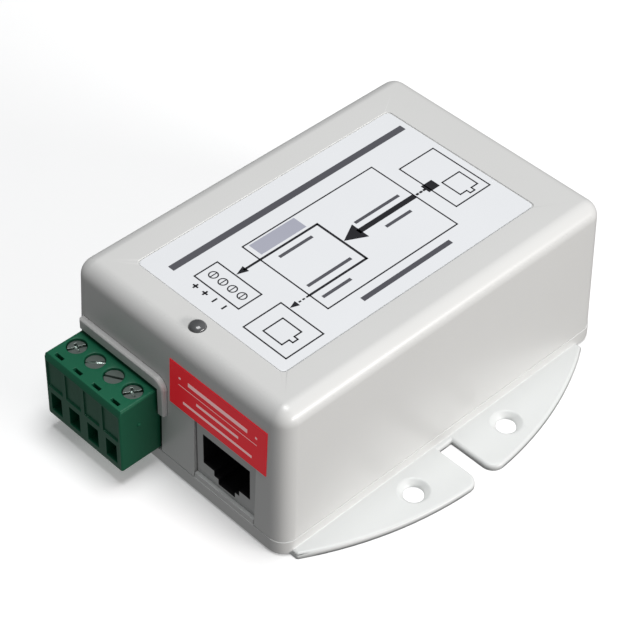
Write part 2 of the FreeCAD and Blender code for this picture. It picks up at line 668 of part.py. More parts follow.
    recesses = new_sketch(body, "ScrewRecesses", "XY_Plane")
    bores = new_sketch(body, "ScrewBores", "XY_Plane")
    for side in ("-", ""):
        for along in POST_Y:
            circle(recesses, f"{side}{POST_X}", along,
                   "Sizes.case_screw_head_radius + Sizes.case_screw_play * 3")
            circle(bores, f"{side}{POST_X}", along, "Sizes.case_screw_radius + Sizes.case_screw_play")
    pocket(body, "ScrewRecessCut", recesses, "Sizes.screw_recess_depth", "0", True)
    pocket(body, "ScrewBoreCut", bores, "Sizes.parting_height + 1", "0", True)
    return keep("base", body)


def case_screws():
    """Four self-tapping screws, driven from below, that hold the base to the cover."""
    body = new_body("CaseScrews")
    profile = new_sketch(body, "CaseScrewProfile", "XZ_Plane")
    head_low = "(Sizes.screw_recess_depth - Sizes.case_screw_head_height)"
    head_top = "Sizes.screw_recess_depth"
    tip = f"({head_top} + Sizes.case_screw_length)"
    polygon(profile, [
        ("0", head_low),
        ("Sizes.case_screw_head_radius", head_low),
        ("Sizes.case_screw_head_radius", head_top),
        ("Sizes.case_screw_radius", head_top),
        ("Sizes.case_screw_radius", tip),
        ("0", tip),
    ])
    spin(body, "CaseScrewTurn", profile)
    screws = []
    for side in ("-", ""):
        for along in POST_Y:
            twin = doc.addObject("Part::Compound", f"CaseScrew{len(screws) + 1}")
            twin.Links = [body]
            twin.setExpression("Placement.Base.x", f"{side}{POST_X}")
            twin.setExpression("Placement.Base.y", along)
            screws.append(twin)
    return keep("case_screws", group("CaseScrewSet", screws))


def labels():
    """The label in the roof recess and the red label above the front jack."""
    top = new_body("TopLabel")
    sheet = new_sketch(top, "TopLabelOutline", "XY_Plane", "Sizes.case_height - Sizes.label_recess")
    rectangle(sheet, f"-{LABEL_HALF}", LABEL_HALF, LABEL_FRONT, LABEL_REAR)
    pad(top, "TopLabelSheet", sheet, "Sizes.label_thickness")
    low = sizes.case_height - sizes.label_recess
    high = low + sizes.label_thickness
    fillet(top, "TopLabelCorners", "Sizes.label_corner_radius", lambda edge: spans(edge, low, high))
    keep("top_label", top)

    red = new_body("RedLabel")
    lower = f"({WINDOW_TOP} + Sizes.red_label_gap)"
    upper = f"({lower} + Sizes.red_label_height)"
    width = f"Sizes.red_label_width * {LABEL_ROOM}"
    side = new_sketch(red, "RedLabelProfile", "YZ_Plane",
                      f"Sizes.case_width / 2 - Sizes.red_label_side_margin - {width}")
    polygon(side, [
        (f"-{wall_y(lower)}", lower),
        (f"-{wall_y(upper)}", upper),
        (f"-{wall_y(upper)} - Sizes.label_thickness", upper),
        (f"-{wall_y(lower)} - Sizes.label_thickness", lower),
    ])
    pad(red, "RedLabelSheet", side, width)
    keep("red_label", red)


def light():
    """A moulded light pipe from the roof down to the lamp on the board, and the lamp."""
    pipe = new_body("LightPipe")
    profile = new_sketch(pipe, "LightPipeProfile", "XZ_Plane")
    foot = f"({BOARD_TOP} + Sizes.lamp_height + 0.2)"
    top = "(Sizes.case_height + Sizes.light_pipe_rise)"
    shoulder = "(Sizes.case_height + 0.1)"
    boss_under = f"({ROOF_UNDER} - Sizes.light_boss_height)"
    polygon(profile, [
        ("0", foot),
        ("Sizes.light_pipe_radius", foot),
        ("Sizes.light_pipe_radius", f"{boss_under} - 1"),
        ("Sizes.light_pipe_collar", f"{boss_under} - 1"),
        ("Sizes.light_pipe_collar", boss_under),
        ("Sizes.light_pipe_radius", boss_under),
        ("Sizes.light_pipe_radius", shoulder),
        ("Sizes.light_pipe_radius * 0.6", top),
        ("0", top),
    ])
    spin(pipe, "LightPipeTurn", profile)
    place = doc.addObject("Part::Compound", "LightPipePlace")
    place.Links = [pipe]
    place.setExpression("Placement.Base.x", LIGHT_X)
    place.setExpression("Placement.Base.y", f"{FRONT} + Sizes.light_pipe_inset")
    keep("light_pipe", place)
    lamp_y = f"{FRONT} + Sizes.light_pipe_inset"
    lamp = block("Lamp", f"{LIGHT_X} - Sizes.lamp_length / 2",
                 f"{LIGHT_X} + Sizes.lamp_length / 2", f"{lamp_y} - Sizes.lamp_width / 2",
                 f"{lamp_y} + Sizes.lamp_width / 2", BOARD_TOP, f"{BOARD_TOP} + Sizes.lamp_height")
    keep("indicator_lamp", lamp)


def board():
    """The circuit board, notched round the screw posts."""
    body = new_body("CircuitBoard")
    outline = new_sketch(body, "BoardOutline", "XY_Plane", BOARD_UNDER)
    half_x = f"({wall_x('Sizes.parting_height')} - {RIM} - Sizes.board_edge_gap)"
    half_y = f"({wall_y('Sizes.parting_height')} - {RIM} - Sizes.board_edge_gap)"
    rectangle(outline, f"-{half_x}", half_x, f"-{half_y}", half_y)
    pad(body, "BoardSheet", outline, "Sizes.board_thickness")
    notches = new_sketch(body, "BoardNotches", "XY_Plane", BOARD_UNDER)
    for side in ("-", ""):
        for along in POST_Y:
            square(notches, f"{side}{POST_X}", along, "(Sizes.post_width / 2 + Sizes.board_edge_gap)")
    pocket(body, "BoardNotchCut", notches, "Sizes.board_thickness + 1", "0", True)
    return keep("circuit_board", body)


def jack(label, name, centre, front):
    """A network jack: a moulded block with a stepped port, and its eight spring contacts."""
    body = new_body(f"{name}Jack")
    face = f"({wall_y(BOARD_TOP)} - Sizes.jack_recess)"
    plane = face if front else f"(-{face})"
    outline = new_sketch(body, f"{name}JackOutline", "XZ_Plane", plane)
    rectangle(outline, f"{centre} - Sizes.jack_width / 2", f"{centre} + Sizes.jack_width / 2",
              BOARD_TOP, JACK_TOP)
    pad(body, f"{name}JackBlock", outline, "Sizes.jack_depth", "0", front)
    port = new_sketch(body, f"{name}JackPort", "XZ_Plane", plane)
    rectangle(port, f"{centre} - Sizes.port_width / 2", f"{centre} + Sizes.port_width / 2",
              PORT_FLOOR, PORT_ROOF)
    pocket(body, f"{name}JackPortCut", port, "Sizes.port_depth", "0", not front)
    step = f"({PORT_FLOOR} - Sizes.latch_step)"
    outer = new_sketch(body, f"{name}LatchOuter", "XZ_Plane", plane)
    rectangle(outer, f"{centre} - Sizes.latch_outer_width / 2", f"{centre} + Sizes.latch_outer_width / 2",
              step, f"{PORT_FLOOR} + 0.1")
    pocket(body, f"{name}LatchOuterCut", outer, "Sizes.port_depth * 0.8", "0", not front)
    inner = new_sketch(body, f"{name}LatchInner", "XZ_Plane", plane)
    rectangle(inner, f"{centre} - Sizes.latch_inner_width / 2", f"{centre} + Sizes.latch_inner_width / 2",
              f"{step} - Sizes.latch_step", f"{step} + 0.1")
    pocket(body, f"{name}LatchInnerCut", inner, "Sizes.port_depth * 0.6", "0", not front)
    keep(label, body)

    wires = new_body(f"{name}Contacts")
    wire = new_sketch(wires, f"{name}ContactProfile", "YZ_Plane",
                      f"{centre} - 3.5 * Sizes.contact_pitch - Sizes.contact_width / 2")
    roof = f"({PORT_ROOF} - 0.02)"
    mouth = f"({face} - 1.8)"
    tail = f"({face} - Sizes.port_depth * 0.82)"
    sag = f"({PORT_ROOF} - Sizes.contact_sag)"
    sign = "-" if front else ""
    polygon(wire, [
        (f"{sign}{mouth}", f"{roof} - Sizes.contact_thickness"),
        (f"{sign}{mouth}", roof),
        (f"{sign}({mouth} - 1.6)", roof),
        (f"{sign}{tail}", sag),
        (f"{sign}{tail}", f"{sag} - Sizes.contact_thickness"),
        (f"{sign}({mouth} - 1.4)", f"{roof} - Sizes.contact_thickness"),
    ])
    strip = pad(wires, f"{name}ContactStrip", wire, "Sizes.contact_width")
    repeat(wires, f"{name}ContactRow", [strip], "X_Axis", "Sizes.contact_pitch", "8")
    keep(f"{label}_contacts", wires)


def terminal_header():
    """Shrouded header on the board that takes the plug's nose, with one square pin for each pole."""
    body = new_body("TerminalHeader")
    outline = new_sketch(body, "HeaderOutline", "XZ_Plane", f"-{HEADER_MOUTH}")
    rectangle(outline, PLUG_LEFT, PLUG_RIGHT, BOARD_TOP, f"{BOARD_TOP} + Sizes.header_height")
    pad(body, "HeaderBlock", outline, "Sizes.header_depth", "0", True)
    nose_low = f"({BOARD_TOP} - Sizes.plug_drop + Sizes.nose_rise)"
    cavity = new_sketch(body, "HeaderCavity", "XZ_Plane", f"-{HEADER_MOUTH}")
    rectangle(cavity, f"{PLUG_LEFT} + Sizes.header_wall", f"{PLUG_RIGHT} - Sizes.header_wall",
              f"{nose_low} - Sizes.busbar_play * 2",
              f"{nose_low} + Sizes.nose_height + Sizes.busbar_play * 2")
    pocket(body, "HeaderCavityCut", cavity, "Sizes.header_depth - Sizes.header_back")
    pin_level = f"({BOARD_TOP} + Sizes.pin_rise)"
    pin_hole = new_sketch(body, "HeaderPinHole", "XZ_Plane", f"-{HEADER_MOUTH}")
    reach = "(Sizes.pin_size / 2 + 0.01)"
    rectangle(pin_hole, f"{pole_x(0)} - {reach}", f"{pole_x(0)} + {reach}",
              f"{pin_level} - {reach}", f"{pin_level} + {reach}")
    hole = pocket(body, "HeaderPinHoleCut", pin_hole, "Sizes.header_depth + 1")
    repeat(body, "HeaderPinHoles", [hole], "X_Axis", "Sizes.pole_pitch", "Sizes.pole_count")
    keep("terminal_header", body)

    pins = new_body("HeaderPins")
    bent = new_sketch(pins, "HeaderPinProfile", "YZ_Plane", f"{pole_x(0)} - Sizes.pin_size / 2")
    tip = f"({HEADER_MOUTH} + 2)"
    bend = f"({HEADER_MOUTH} + Sizes.header_depth + 0.3)"
    low = f"({pin_level} - Sizes.pin_size / 2)"
    high = f"({pin_level} + Sizes.pin_size / 2)"
    polygon(bent, [
        (tip, low),
        (tip, high),
        (f"{bend} + Sizes.pin_size", high),
        (f"{bend} + Sizes.pin_size", f"{BOARD_TOP} + 0.02"),
        (bend, f"{BOARD_TOP} + 0.02"),
        (bend, low),
    ])
    pin = pad(pins, "HeaderPin", bent, "Sizes.pin_size")
    repeat(pins, "HeaderPinRow", [pin], "X_Axis", "Sizes.pole_pitch", "Sizes.pole_count")
    keep("header_pins", pins)


def terminal_plug():
    """Green plug: a block with a wire hole, a clamp pocket and a screw mouth for each pole, and a nose."""
    body = new_body("TerminalPlug")
    side = new_sketch(body, "PlugProfile", "YZ_Plane", PLUG_LEFT)
    nose_low = f"({PLUG_BOTTOM} + Sizes.nose_rise)"
    polygon(side, [
        (PLUG_FRONT, PLUG_BOTTOM),
        (HEADER_MOUTH, PLUG_BOTTOM),
        (HEADER_MOUTH, PLUG_TOP),
        (f"{PLUG_FRONT} + Sizes.plug_bevel_depth", PLUG_TOP),
        (PLUG_FRONT, f"{PLUG_TOP} - Sizes.plug_bevel_height"),
    ])
    pad(body, "PlugBlock", side, f"{PLUG_RIGHT} - {PLUG_LEFT}")
    nose = new_sketch(body, "PlugNose", "XZ_Plane", f"-{HEADER_MOUTH}")
    rectangle(nose, f"{PLUG_LEFT} + Sizes.nose_margin", f"{PLUG_RIGHT} - Sizes.nose_margin",
              nose_low, f"{nose_low} + Sizes.nose_height")
    pad(body, "PlugNosePad", nose, "Sizes.nose_depth", "0", True)

    reach = "(Sizes.clamp_width / 2 + Sizes.clamp_play)"
    along = "(Sizes.clamp_depth / 2 + Sizes.clamp_play)"
    cell = new_sketch(body, "ClampPocket", "XY_Plane", f"{CLAMP_BOTTOM} - Sizes.clamp_play")
    rectangle(cell, f"{pole_x(0)} - {reach}", f"{pole_x(0)} + {reach}",
              f"{SCREW_Y} - {along}", f"{SCREW_Y} + {along}")
    cell_cut = pocket(body, "ClampPocketCut", cell,
                      f"{POCKET_TOP} - {CLAMP_BOTTOM} + Sizes.clamp_play", "0", True)
    shank = new_sketch(body, "ShankHole", "XY_Plane", PLUG_TOP)
    circle(shank, pole_x(0), SCREW_Y, "Sizes.screw_shank_radius + Sizes.screw_play")
    shank_cut = pocket(body, "ShankHoleCut", shank, f"{PLUG_TOP} - {POCKET_TOP} + 0.5")
    mouth = new_sketch(body, "ScrewMouth", "XY_Plane", PLUG_TOP)
    circle(mouth, pole_x(0), SCREW_Y, "Sizes.screw_mouth_radius")
    mouth_cut = pocket(body, "ScrewMouthCut", mouth, f"{PLUG_TOP} - {HEAD_UNDER}")
    entry = new_sketch(body, "WireHole", "XZ_Plane", f"-{PLUG_FRONT} + 1")
    rectangle(entry, f"{pole_x(0)} - Sizes.wire_hole_width / 2", f"{pole_x(0)} + Sizes.wire_hole_width / 2",
              WIRE_FLOOR, WIRE_ROOF)
    entry_cut = pocket(body, "WireHoleCut", entry, "Sizes.screw_setback + 1")
    panel = new_sketch(body, "FrontPanel", "XZ_Plane", f"-{PLUG_FRONT} + 1")
    rectangle(panel, f"{pole_x(0)} - Sizes.pole_pitch * 0.4", f"{pole_x(0)} + Sizes.pole_pitch * 0.4",
              f"{WIRE_ROOF} + 1.4", f"{PLUG_TOP} - Sizes.plug_bevel_height - 0.3")
    panel_cut = pocket(body, "FrontPanelCut", panel, "1.35")
    slot = new_sketch(body, "TestSlot", "XY_Plane", PLUG_TOP)
    slot_y = f"({PLUG_FRONT} + Sizes.test_slot_setback)"
    rectangle(slot, f"{pole_x(0)} - Sizes.test_slot_width / 2", f"{pole_x(0)} + Sizes.test_slot_width / 2",
              f"{slot_y} - 0.35", f"{slot_y} + 0.35")
    slot_cut = pocket(body, "TestSlotCut", slot, "2.5")
    bar = new_sketch(body, "BusbarSlot", "XZ_Plane", f"-{SCREW_Y}")
    bar_reach = "(Sizes.busbar_width / 2 + Sizes.busbar_play)"
    rectangle(bar, f"{pole_x(0)} - {bar_reach}", f"{pole_x(0)} + {bar_reach}",
              f"{BUSBAR_TOP} - Sizes.busbar_thickness - Sizes.busbar_play / 2",
              f"{BUSBAR_TOP} + Sizes.busbar_play / 2")
    bar_cut = pocket(body, "BusbarSlotCut", bar, f"{HEADER_MOUTH} - {SCREW_Y} + 1")
    socket = new_sketch(body, "SocketHole", "XZ_Plane", f"-{HEADER_MOUTH} - Sizes.nose_depth - 1")
    pin_level = f"({BOARD_TOP} + Sizes.pin_rise)"
    rectangle(socket, f"{pole_x(0)} - {bar_reach}", f"{pole_x(0)} + {bar_reach}",
              f"{BUSBAR_TOP} - 2.9", f"{BUSBAR_TOP} + 1.7")
    socket_cut = pocket(body, "SocketHoleCut", socket, "Sizes.nose_depth + 1", "0", True)
    repeat(body, "PlugPoles", [cell_cut, shank_cut, mouth_cut, entry_cut, panel_cut, slot_cut, bar_cut,
                               socket_cut], "X_Axis", "Sizes.pole_pitch", "Sizes.pole_count")
    return keep("terminal_plug", body)


def plug_contacts():
    """One strip for each pole: a flat bar under the screw and a two-leaf socket round the header pin."""
    body = new_body("PlugContacts")
    bar = new_sketch(body, "BusbarProfile", "XZ_Plane", f"-{SCREW_Y} + Sizes.clamp_depth / 2")
    half = "(Sizes.busbar_width / 2)"
    low = f"({BUSBAR_TOP} - Sizes.busbar_thickness)"
    rectangle(bar, f"{pole_x(0)} - {half}", f"{pole_x(0)} + {half}", low, BUSBAR_TOP)
    length = f"({HEADER_MOUTH} - {SCREW_Y} + Sizes.clamp_depth / 2 + 0.6)"
    strip = pad(body, "Busbar", bar, length, "0", True)
    pin_low = f"({BOARD_TOP} + Sizes.pin_rise - Sizes.pin_size / 2)"
    leaf = new_sketch(body, "LeafProfile", "XZ_Plane", f"-{HEADER_MOUTH} - 0.2")
    inner = "(Sizes.pin_size / 2 + 0.05)"
    outer = "(Sizes.pin_size / 2 + 0.45)"
    for sign in ("-", "+"):
        near, far = (outer, inner) if sign == "-" else (inner, outer)
        rectangle(leaf, f"{pole_x(0)} {sign} {near}", f"{pole_x(0)} {sign} {far}",
                  low, f"{pin_low} + Sizes.pin_size + 0.1")
    leaves = pad(body, "SocketLeaves", leaf, "Sizes.nose_depth - 1.2", "0", True)
    repeat(body, "PlugContactRow", [strip, leaves], "X_Axis", "Sizes.pole_pitch", "Sizes.pole_count")
    return keep("plug_contacts", body)


def terminal_screw(pole):
    """A captive slotted screw whose tip bears on the bar."""
    body = new_body(f"TerminalScrew{pole + 1}")
    profile = new_sketch(body, f"ScrewProfile{pole + 1}", "XZ_Plane")
    head_low = f"({HEAD_UNDER} + 0.05)"
    head_top = f"({head_low} + Sizes.screw_head_height)"
    tip = f"({BUSBAR_TOP} + 0.05)"
    polygon(profile, [
        ("0", tip),
        ("Sizes.screw_shank_radius", tip),
        ("Sizes.screw_shank_radius", head_low),
        ("Sizes.screw_head_radius", head_low),
        ("Sizes.screw_head_radius", head_top),
        ("0", head_top),
    ])
    spin(body, f"ScrewTurn{pole + 1}", profile)
    slot = new_sketch(body, f"ScrewSlot{pole + 1}", "XY_Plane", head_top)
    rectangle(slot, "-Sizes.screw_head_radius - 0.2", "Sizes.screw_head_radius + 0.2", "-0.3", "0.3")
    pocket(body, f"ScrewSlotCut{pole + 1}", slot, "Sizes.screw_head_height / 2")
    place = doc.addObject("Part::Compound", f"ScrewPlace{pole + 1}")
    place.Links = [body]
    place.setExpression("Placement.Base.x", pole_x(pole))
    place.setExpression("Placement.Base.y", SCREW_Y)
    return keep(f"terminal_screw_{pole + 1}", place)


def wire_clamp(pole):
    """A square tube, open front and back, that climbs its screw and grips the wire against the bar."""
    name = f"WireClamp{pole + 1}"
    x = pole_x(pole)
    half = "(Sizes.clamp_width / 2)"
    along = "(Sizes.clamp_depth / 2)"
    outer = block(f"{name}Outer", f"{x} - {half}", f"{x} + {half}", f"{SCREW_Y} - {along}",
                  f"{SCREW_Y} + {along}", CLAMP_BOTTOM, CLAMP_TOP)
    inner = block(f"{name}Inner", f"{x} - {half} + Sizes.clamp_wall", f"{x} + {half} - Sizes.clamp_wall",
                  f"{SCREW_Y} - {along} - 1", f"{SCREW_Y} + {along} + 1",
                  WIRE_FLOOR, f"{CLAMP_TOP} - Sizes.clamp_wall * 1.5")
    bore = rod(f"{name}Bore", x, SCREW_Y, f"{CLAMP_TOP} - 2", f"{CLAMP_TOP} + 1",
               "Sizes.screw_shank_radius + Sizes.screw_play")
    return keep(f"wire_clamp_{pole + 1}", cut(name, cut(f"{name}Tube", outer, inner), bore))


def board_y(end, inset):
    return f"({FRONT} + {inset} * {ALONG})" if end == "front" else f"({REAR} - {inset} * {ALONG})"


def chip(label, end, legs):
    """A moulded component that stands on the board, with bent legs along both sides."""
    name = "".join(word.capitalize() for word in label.split("_"))
    x = f"Sizes.{label}_across * {ACROSS}"
    y = board_y(end, f"Sizes.{label}_inset")
    width = f"Sizes.{label}_width * {ACROSS}"
    half_width = f"{width} / 2"
    half_depth = f"Sizes.{label}_depth * {ALONG} / 2"
    pieces = [block(f"{name}Body", f"{x} - {half_width}", f"{x} + {half_width}", f"{y} - {half_depth}",
                    f"{y} + {half_depth}", BOARD_TOP, f"{BOARD_TOP} + Sizes.{label}_height")]
    for n in range(int(legs)):
        centre = f"({x} - {half_width} + {width} / {legs} * ({n} + 0.5))"
        reach = f"{width} / {legs} * 0.2"
        pieces.append(block(f"{name}Leg{n + 1}", f"{centre} - {reach}", f"{centre} + {reach}",
                            f"{y} - {half_depth} - Sizes.leg_reach", f"{y} + {half_depth} + Sizes.leg_reach",
                            BOARD_TOP, f"{BOARD_TOP} + Sizes.leg_thickness"))
    return keep(label, fuse(name, pieces))


def can(label, end, x):
    """A wound component in a round can that stands on the board."""
    name = "".join(word.capitalize() for word in label.split("_"))
    return rod(name, x, board_y(end, f"Sizes.{label}_inset"), BOARD_TOP,
               f"{BOARD_TOP} + Sizes.{label}_height", f"Sizes.{label}_radius * {ALONG}")


def power_transformer():
    """Split ferrite core round a flanged bobbin that carries the windings."""
    x = f"Sizes.transformer_across * {ACROSS}"
    y = board_y("front", "Sizes.transformer_inset")
    half_width = f"(Sizes.bobbin_width * {ACROSS} / 2)"
    half_depth = f"(Sizes.bobbin_depth * {ALONG} / 2)"
    middle = f"({BOARD_TOP} + Sizes.bobbin_height / 2)"
    pieces = []
    for n, side in enumerate(("-", "+")):
        outer = f"{x} {side} {half_width}"
        inner = f"{x} {side} ({half_width} - Sizes.bobbin_flange)"
        left, right = (outer, inner) if side == "-" else (inner, outer)
        pieces.append(block(f"BobbinFlange{n + 1}", left, right, f"{y} - {half_depth}", f"{y} + {half_depth}",
                            BOARD_TOP, f"{BOARD_TOP} + Sizes.bobbin_height"))
    tube = (f"Sizes.bobbin_tube_depth * {ALONG} / 2", "Sizes.bobbin_tube_height / 2")
    pieces.append(block("BobbinTube", f"{x} - {half_width}", f"{x} + {half_width}", f"{y} - {tube[0]}",
                        f"{y} + {tube[0]}", f"{middle} - {tube[1]}", f"{middle} + {tube[1]}"))
    hole = [f"({size} - Sizes.bobbin_wall)" for size in tube]
    hollow = block("BobbinHollow", f"{x} - Sizes.bobbin_width", f"{x} + Sizes.bobbin_width",
                   f"{y} - {hole[0]}", f"{y} + {hole[0]}", f"{middle} - {hole[1]}", f"{middle} + {hole[1]}")
    keep("transformer_bobbin", cut("Bobbin", fuse("BobbinSolid", pieces), hollow))

    reach = f"({half_width} - Sizes.bobbin_flange - Sizes.winding_gap)"
    deep = f"Sizes.winding_depth * {ALONG} / 2"
    coil = block("CoilOuter", f"{x} - {reach}", f"{x} + {reach}", f"{y} - {deep}",
                 f"{y} + {deep}", f"{middle} - Sizes.winding_height / 2",
                 f"{middle} + Sizes.winding_height / 2")
    seat = [f"({size} + Sizes.winding_gap)" for size in tube]
    coil_hole = block("CoilHole", f"{x} - Sizes.bobbin_width", f"{x} + Sizes.bobbin_width",
                      f"{y} - {seat[0]}", f"{y} + {seat[0]}", f"{middle} - {seat[1]}", f"{middle} + {seat[1]}")
    keep("transformer_windings", cut("Windings", coil, coil_hole))

    half_core = f"({half_width} + Sizes.core_play + Sizes.core_thickness)"
    core_depth = f"({half_depth} + Sizes.core_play + Sizes.bridge_thickness)"
    low = f"({middle} - Sizes.core_height / 2)"
    high = f"({middle} + Sizes.core_height / 2)"
    leg = [f"({size} - Sizes.core_play)" for size in hole]
    frame = block("CoreFrame", f"{x} - {half_core}", f"{x} + {half_core}", f"{y} - {core_depth}",
                  f"{y} + {core_depth}", low, high)
    opening = block("CoreOpening", f"{x} - {half_width} - Sizes.core_play",
                    f"{x} + {half_width} + Sizes.core_play", f"{y} - {half_depth} - Sizes.core_play",
                    f"{y} + {half_depth} + Sizes.core_play", f"{low} - 1", f"{high} + 1")
    limb = block("CoreLimb", f"{x} - {half_core}", f"{x} + {half_core}", f"{y} - {leg[0]}", f"{y} + {leg[0]}",
                 f"{middle} - {leg[1]}", f"{middle} + {leg[1]}")
    keep("transformer_core", fuse("Core", [cut("CoreRing", frame, opening), limb]))


def electronics():
    """What turns the line power into the output: each piece stands on the board."""
    for label, across, end, inset, width, depth, height, legs in BOARD_CHIPS:
        chip(label, end, legs)
    power_transformer()
    cans = {label: can(label, end, f"Sizes.{label}_across * {ACROSS}")
            for label, across, end, inset, radius, height in BOARD_CANS}
    keep("output_inductor", cans["output_inductor"])
    keep("output_capacitors", group("OutputCapacitors", [cans["output_capacitor_1"],
                                                         cans["output_capacitor_2"]]))
    beside = "Sizes.input_capacitor_across - (Sizes.case_width - Sizes.layout_width) / 2"
    keep("input_capacitor", can("input_capacitor", "rear", beside))
    small = []
    y = board_y("front", "Sizes.chip_capacitor_inset")
    for n in range(6):
        x = f"((Sizes.chip_capacitor_across + {n} * Sizes.chip_capacitor_pitch) * {ACROSS})"
        half_width = f"Sizes.chip_capacitor_width * {ACROSS} / 2"
        half_depth = f"Sizes.chip_capacitor_depth * {ALONG} / 2"
        small.append(block(f"ChipCapacitor{n + 1}", f"{x} - {half_width}", f"{x} + {half_width}",
                           f"{y} - {half_depth}", f"{y} + {half_depth}", BOARD_TOP,
                           f"{BOARD_TOP} + Sizes.chip_capacitor_height"))
    keep("chip_capacitors", group("ChipCapacitors", small))


cover()
base()
case_screws()
labels()
light()
board()
jack("output_jack", "Output", OUTPUT_X, True)
jack("input_jack", "Input", INPUT_X, False)
terminal_header()
terminal_plug()
plug_contacts()
for pole_number in range(int(sizes.pole_count)):
    terminal_screw(pole_number)
    wire_clamp(pole_number)
electronics()

doc.recompute()
for item in doc.Objects:
    if "Invalid" in item.State or "Error" in item.State:
        raise RuntimeError(f"{item.Label} did not rebuild")
for node in nodes:
    shape = node.Shape
    if shape.isNull() or not shape.isValid():
        raise RuntimeError(f"{node.Label} has no valid shape")
    shape.exportStep(f"parts/{node.Label}.step")
    print(node.Label, len(shape.Solids), round(shape.Volume, 2))
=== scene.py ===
import json
import math
import bmesh
import bpy
from mathutils import Matrix, Vector

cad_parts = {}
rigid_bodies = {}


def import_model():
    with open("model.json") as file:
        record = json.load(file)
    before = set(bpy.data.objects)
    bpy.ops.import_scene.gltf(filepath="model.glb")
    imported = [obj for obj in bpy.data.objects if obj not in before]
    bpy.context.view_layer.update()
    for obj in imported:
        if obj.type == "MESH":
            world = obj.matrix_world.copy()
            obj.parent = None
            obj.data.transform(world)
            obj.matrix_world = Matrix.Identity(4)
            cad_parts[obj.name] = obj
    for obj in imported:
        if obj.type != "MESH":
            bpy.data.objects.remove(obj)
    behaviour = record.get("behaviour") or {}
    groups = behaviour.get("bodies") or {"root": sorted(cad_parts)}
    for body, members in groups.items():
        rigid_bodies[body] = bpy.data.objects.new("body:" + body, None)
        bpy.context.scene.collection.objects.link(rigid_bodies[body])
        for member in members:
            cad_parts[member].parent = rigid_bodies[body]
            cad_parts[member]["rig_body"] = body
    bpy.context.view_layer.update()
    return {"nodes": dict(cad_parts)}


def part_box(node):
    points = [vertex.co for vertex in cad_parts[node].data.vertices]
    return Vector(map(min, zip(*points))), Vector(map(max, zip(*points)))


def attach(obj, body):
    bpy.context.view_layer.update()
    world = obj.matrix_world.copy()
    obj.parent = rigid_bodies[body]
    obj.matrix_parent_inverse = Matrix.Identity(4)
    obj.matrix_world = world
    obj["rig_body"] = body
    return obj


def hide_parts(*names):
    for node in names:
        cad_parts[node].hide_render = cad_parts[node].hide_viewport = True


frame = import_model()
scene = bpy.context.scene
MM = 0.001

# ---- Base: the lower tray of the case, with the two screw-down wings in the same moulding.
# It is injection moulded in pale grey ABS from a finely spark-eroded tool, so its skin is smooth
# satin with a faint grain, and the wings' rims are softly rounded. Four screws hold it to the cover.

SHARP = math.radians(30)


def moulded_surface():
    """Shader group of a moulded skin: slow tone drift, fine grain and a roughness that varies a little."""
    tree = bpy.data.node_groups.new("moulded_surface", "ShaderNodeTree")
    for name, kind, start in (("Tone", "NodeSocketColor", (0.8, 0.8, 0.8, 1)),
                              ("Deep Tone", "NodeSocketColor", (0.7, 0.7, 0.7, 1)),
                              ("Drift Scale", "NodeSocketFloat", 30.0),
                              ("Grain Scale", "NodeSocketFloat", 5000.0),
                              ("Smooth", "NodeSocketFloat", 0.4),
                              ("Rough", "NodeSocketFloat", 0.5)):
        tree.interface.new_socket(name, in_out="INPUT", socket_type=kind).default_value = start
    for name, kind in (("Color", "NodeSocketColor"), ("Roughness", "NodeSocketFloat"),
                       ("Height", "NodeSocketFloat")):
        tree.interface.new_socket(name, in_out="OUTPUT", socket_type=kind)
    nodes, wire = tree.nodes, tree.links.new
    given = nodes.new("NodeGroupInput")
    result = nodes.new("NodeGroupOutput")
    place = nodes.new("ShaderNodeTexCoord")
    drift = nodes.new("ShaderNodeTexNoise")
    drift.inputs["Detail"].default_value = 3
    wire(place.outputs["Object"], drift.inputs["Vector"])
    wire(given.outputs["Drift Scale"], drift.inputs["Scale"])
    spread = nodes.new("ShaderNodeMapRange")
    spread.inputs["From Min"].default_value = 0.35
    spread.inputs["From Max"].default_value = 0.65
    wire(drift.outputs["Fac"], spread.inputs["Value"])
    tone = nodes.new("ShaderNodeMix")
    tone.data_type = "RGBA"
    wire(spread.outputs["Result"], tone.inputs["Factor"])
    wire(given.outputs["Tone"], tone.inputs["A"])
    wire(given.outputs["Deep Tone"], tone.inputs["B"])
    wire(tone.outputs["Result"], result.inputs["Color"])
    grain = nodes.new("ShaderNodeTexNoise")
    grain.inputs["Detail"].default_value = 2
    wire(place.outputs["Object"], grain.inputs["Vector"])
    wire(given.outputs["Grain Scale"], grain.inputs["Scale"])
    wire(grain.outputs["Fac"], result.inputs["Height"])
    smudge = nodes.new("ShaderNodeTexNoise")
    smudge.inputs["Scale"].default_value = 90
    smudge.inputs["Detail"].default_value = 4
    wire(place.outputs["Object"], smudge.inputs["Vector"])
    rough = nodes.new("ShaderNodeMapRange")
    rough.inputs["From Min"].default_value = 0.3
    rough.inputs["From Max"].default_value = 0.7
    wire(smudge.outputs["Fac"], rough.inputs["Value"])
    wire(given.outputs["Smooth"], rough.inputs["To Min"])
    wire(given.outputs["Rough"], rough.inputs["To Max"])
    wire(rough.outputs["Result"], result.inputs["Roughness"])
    return tree


SKIN = moulded_surface()


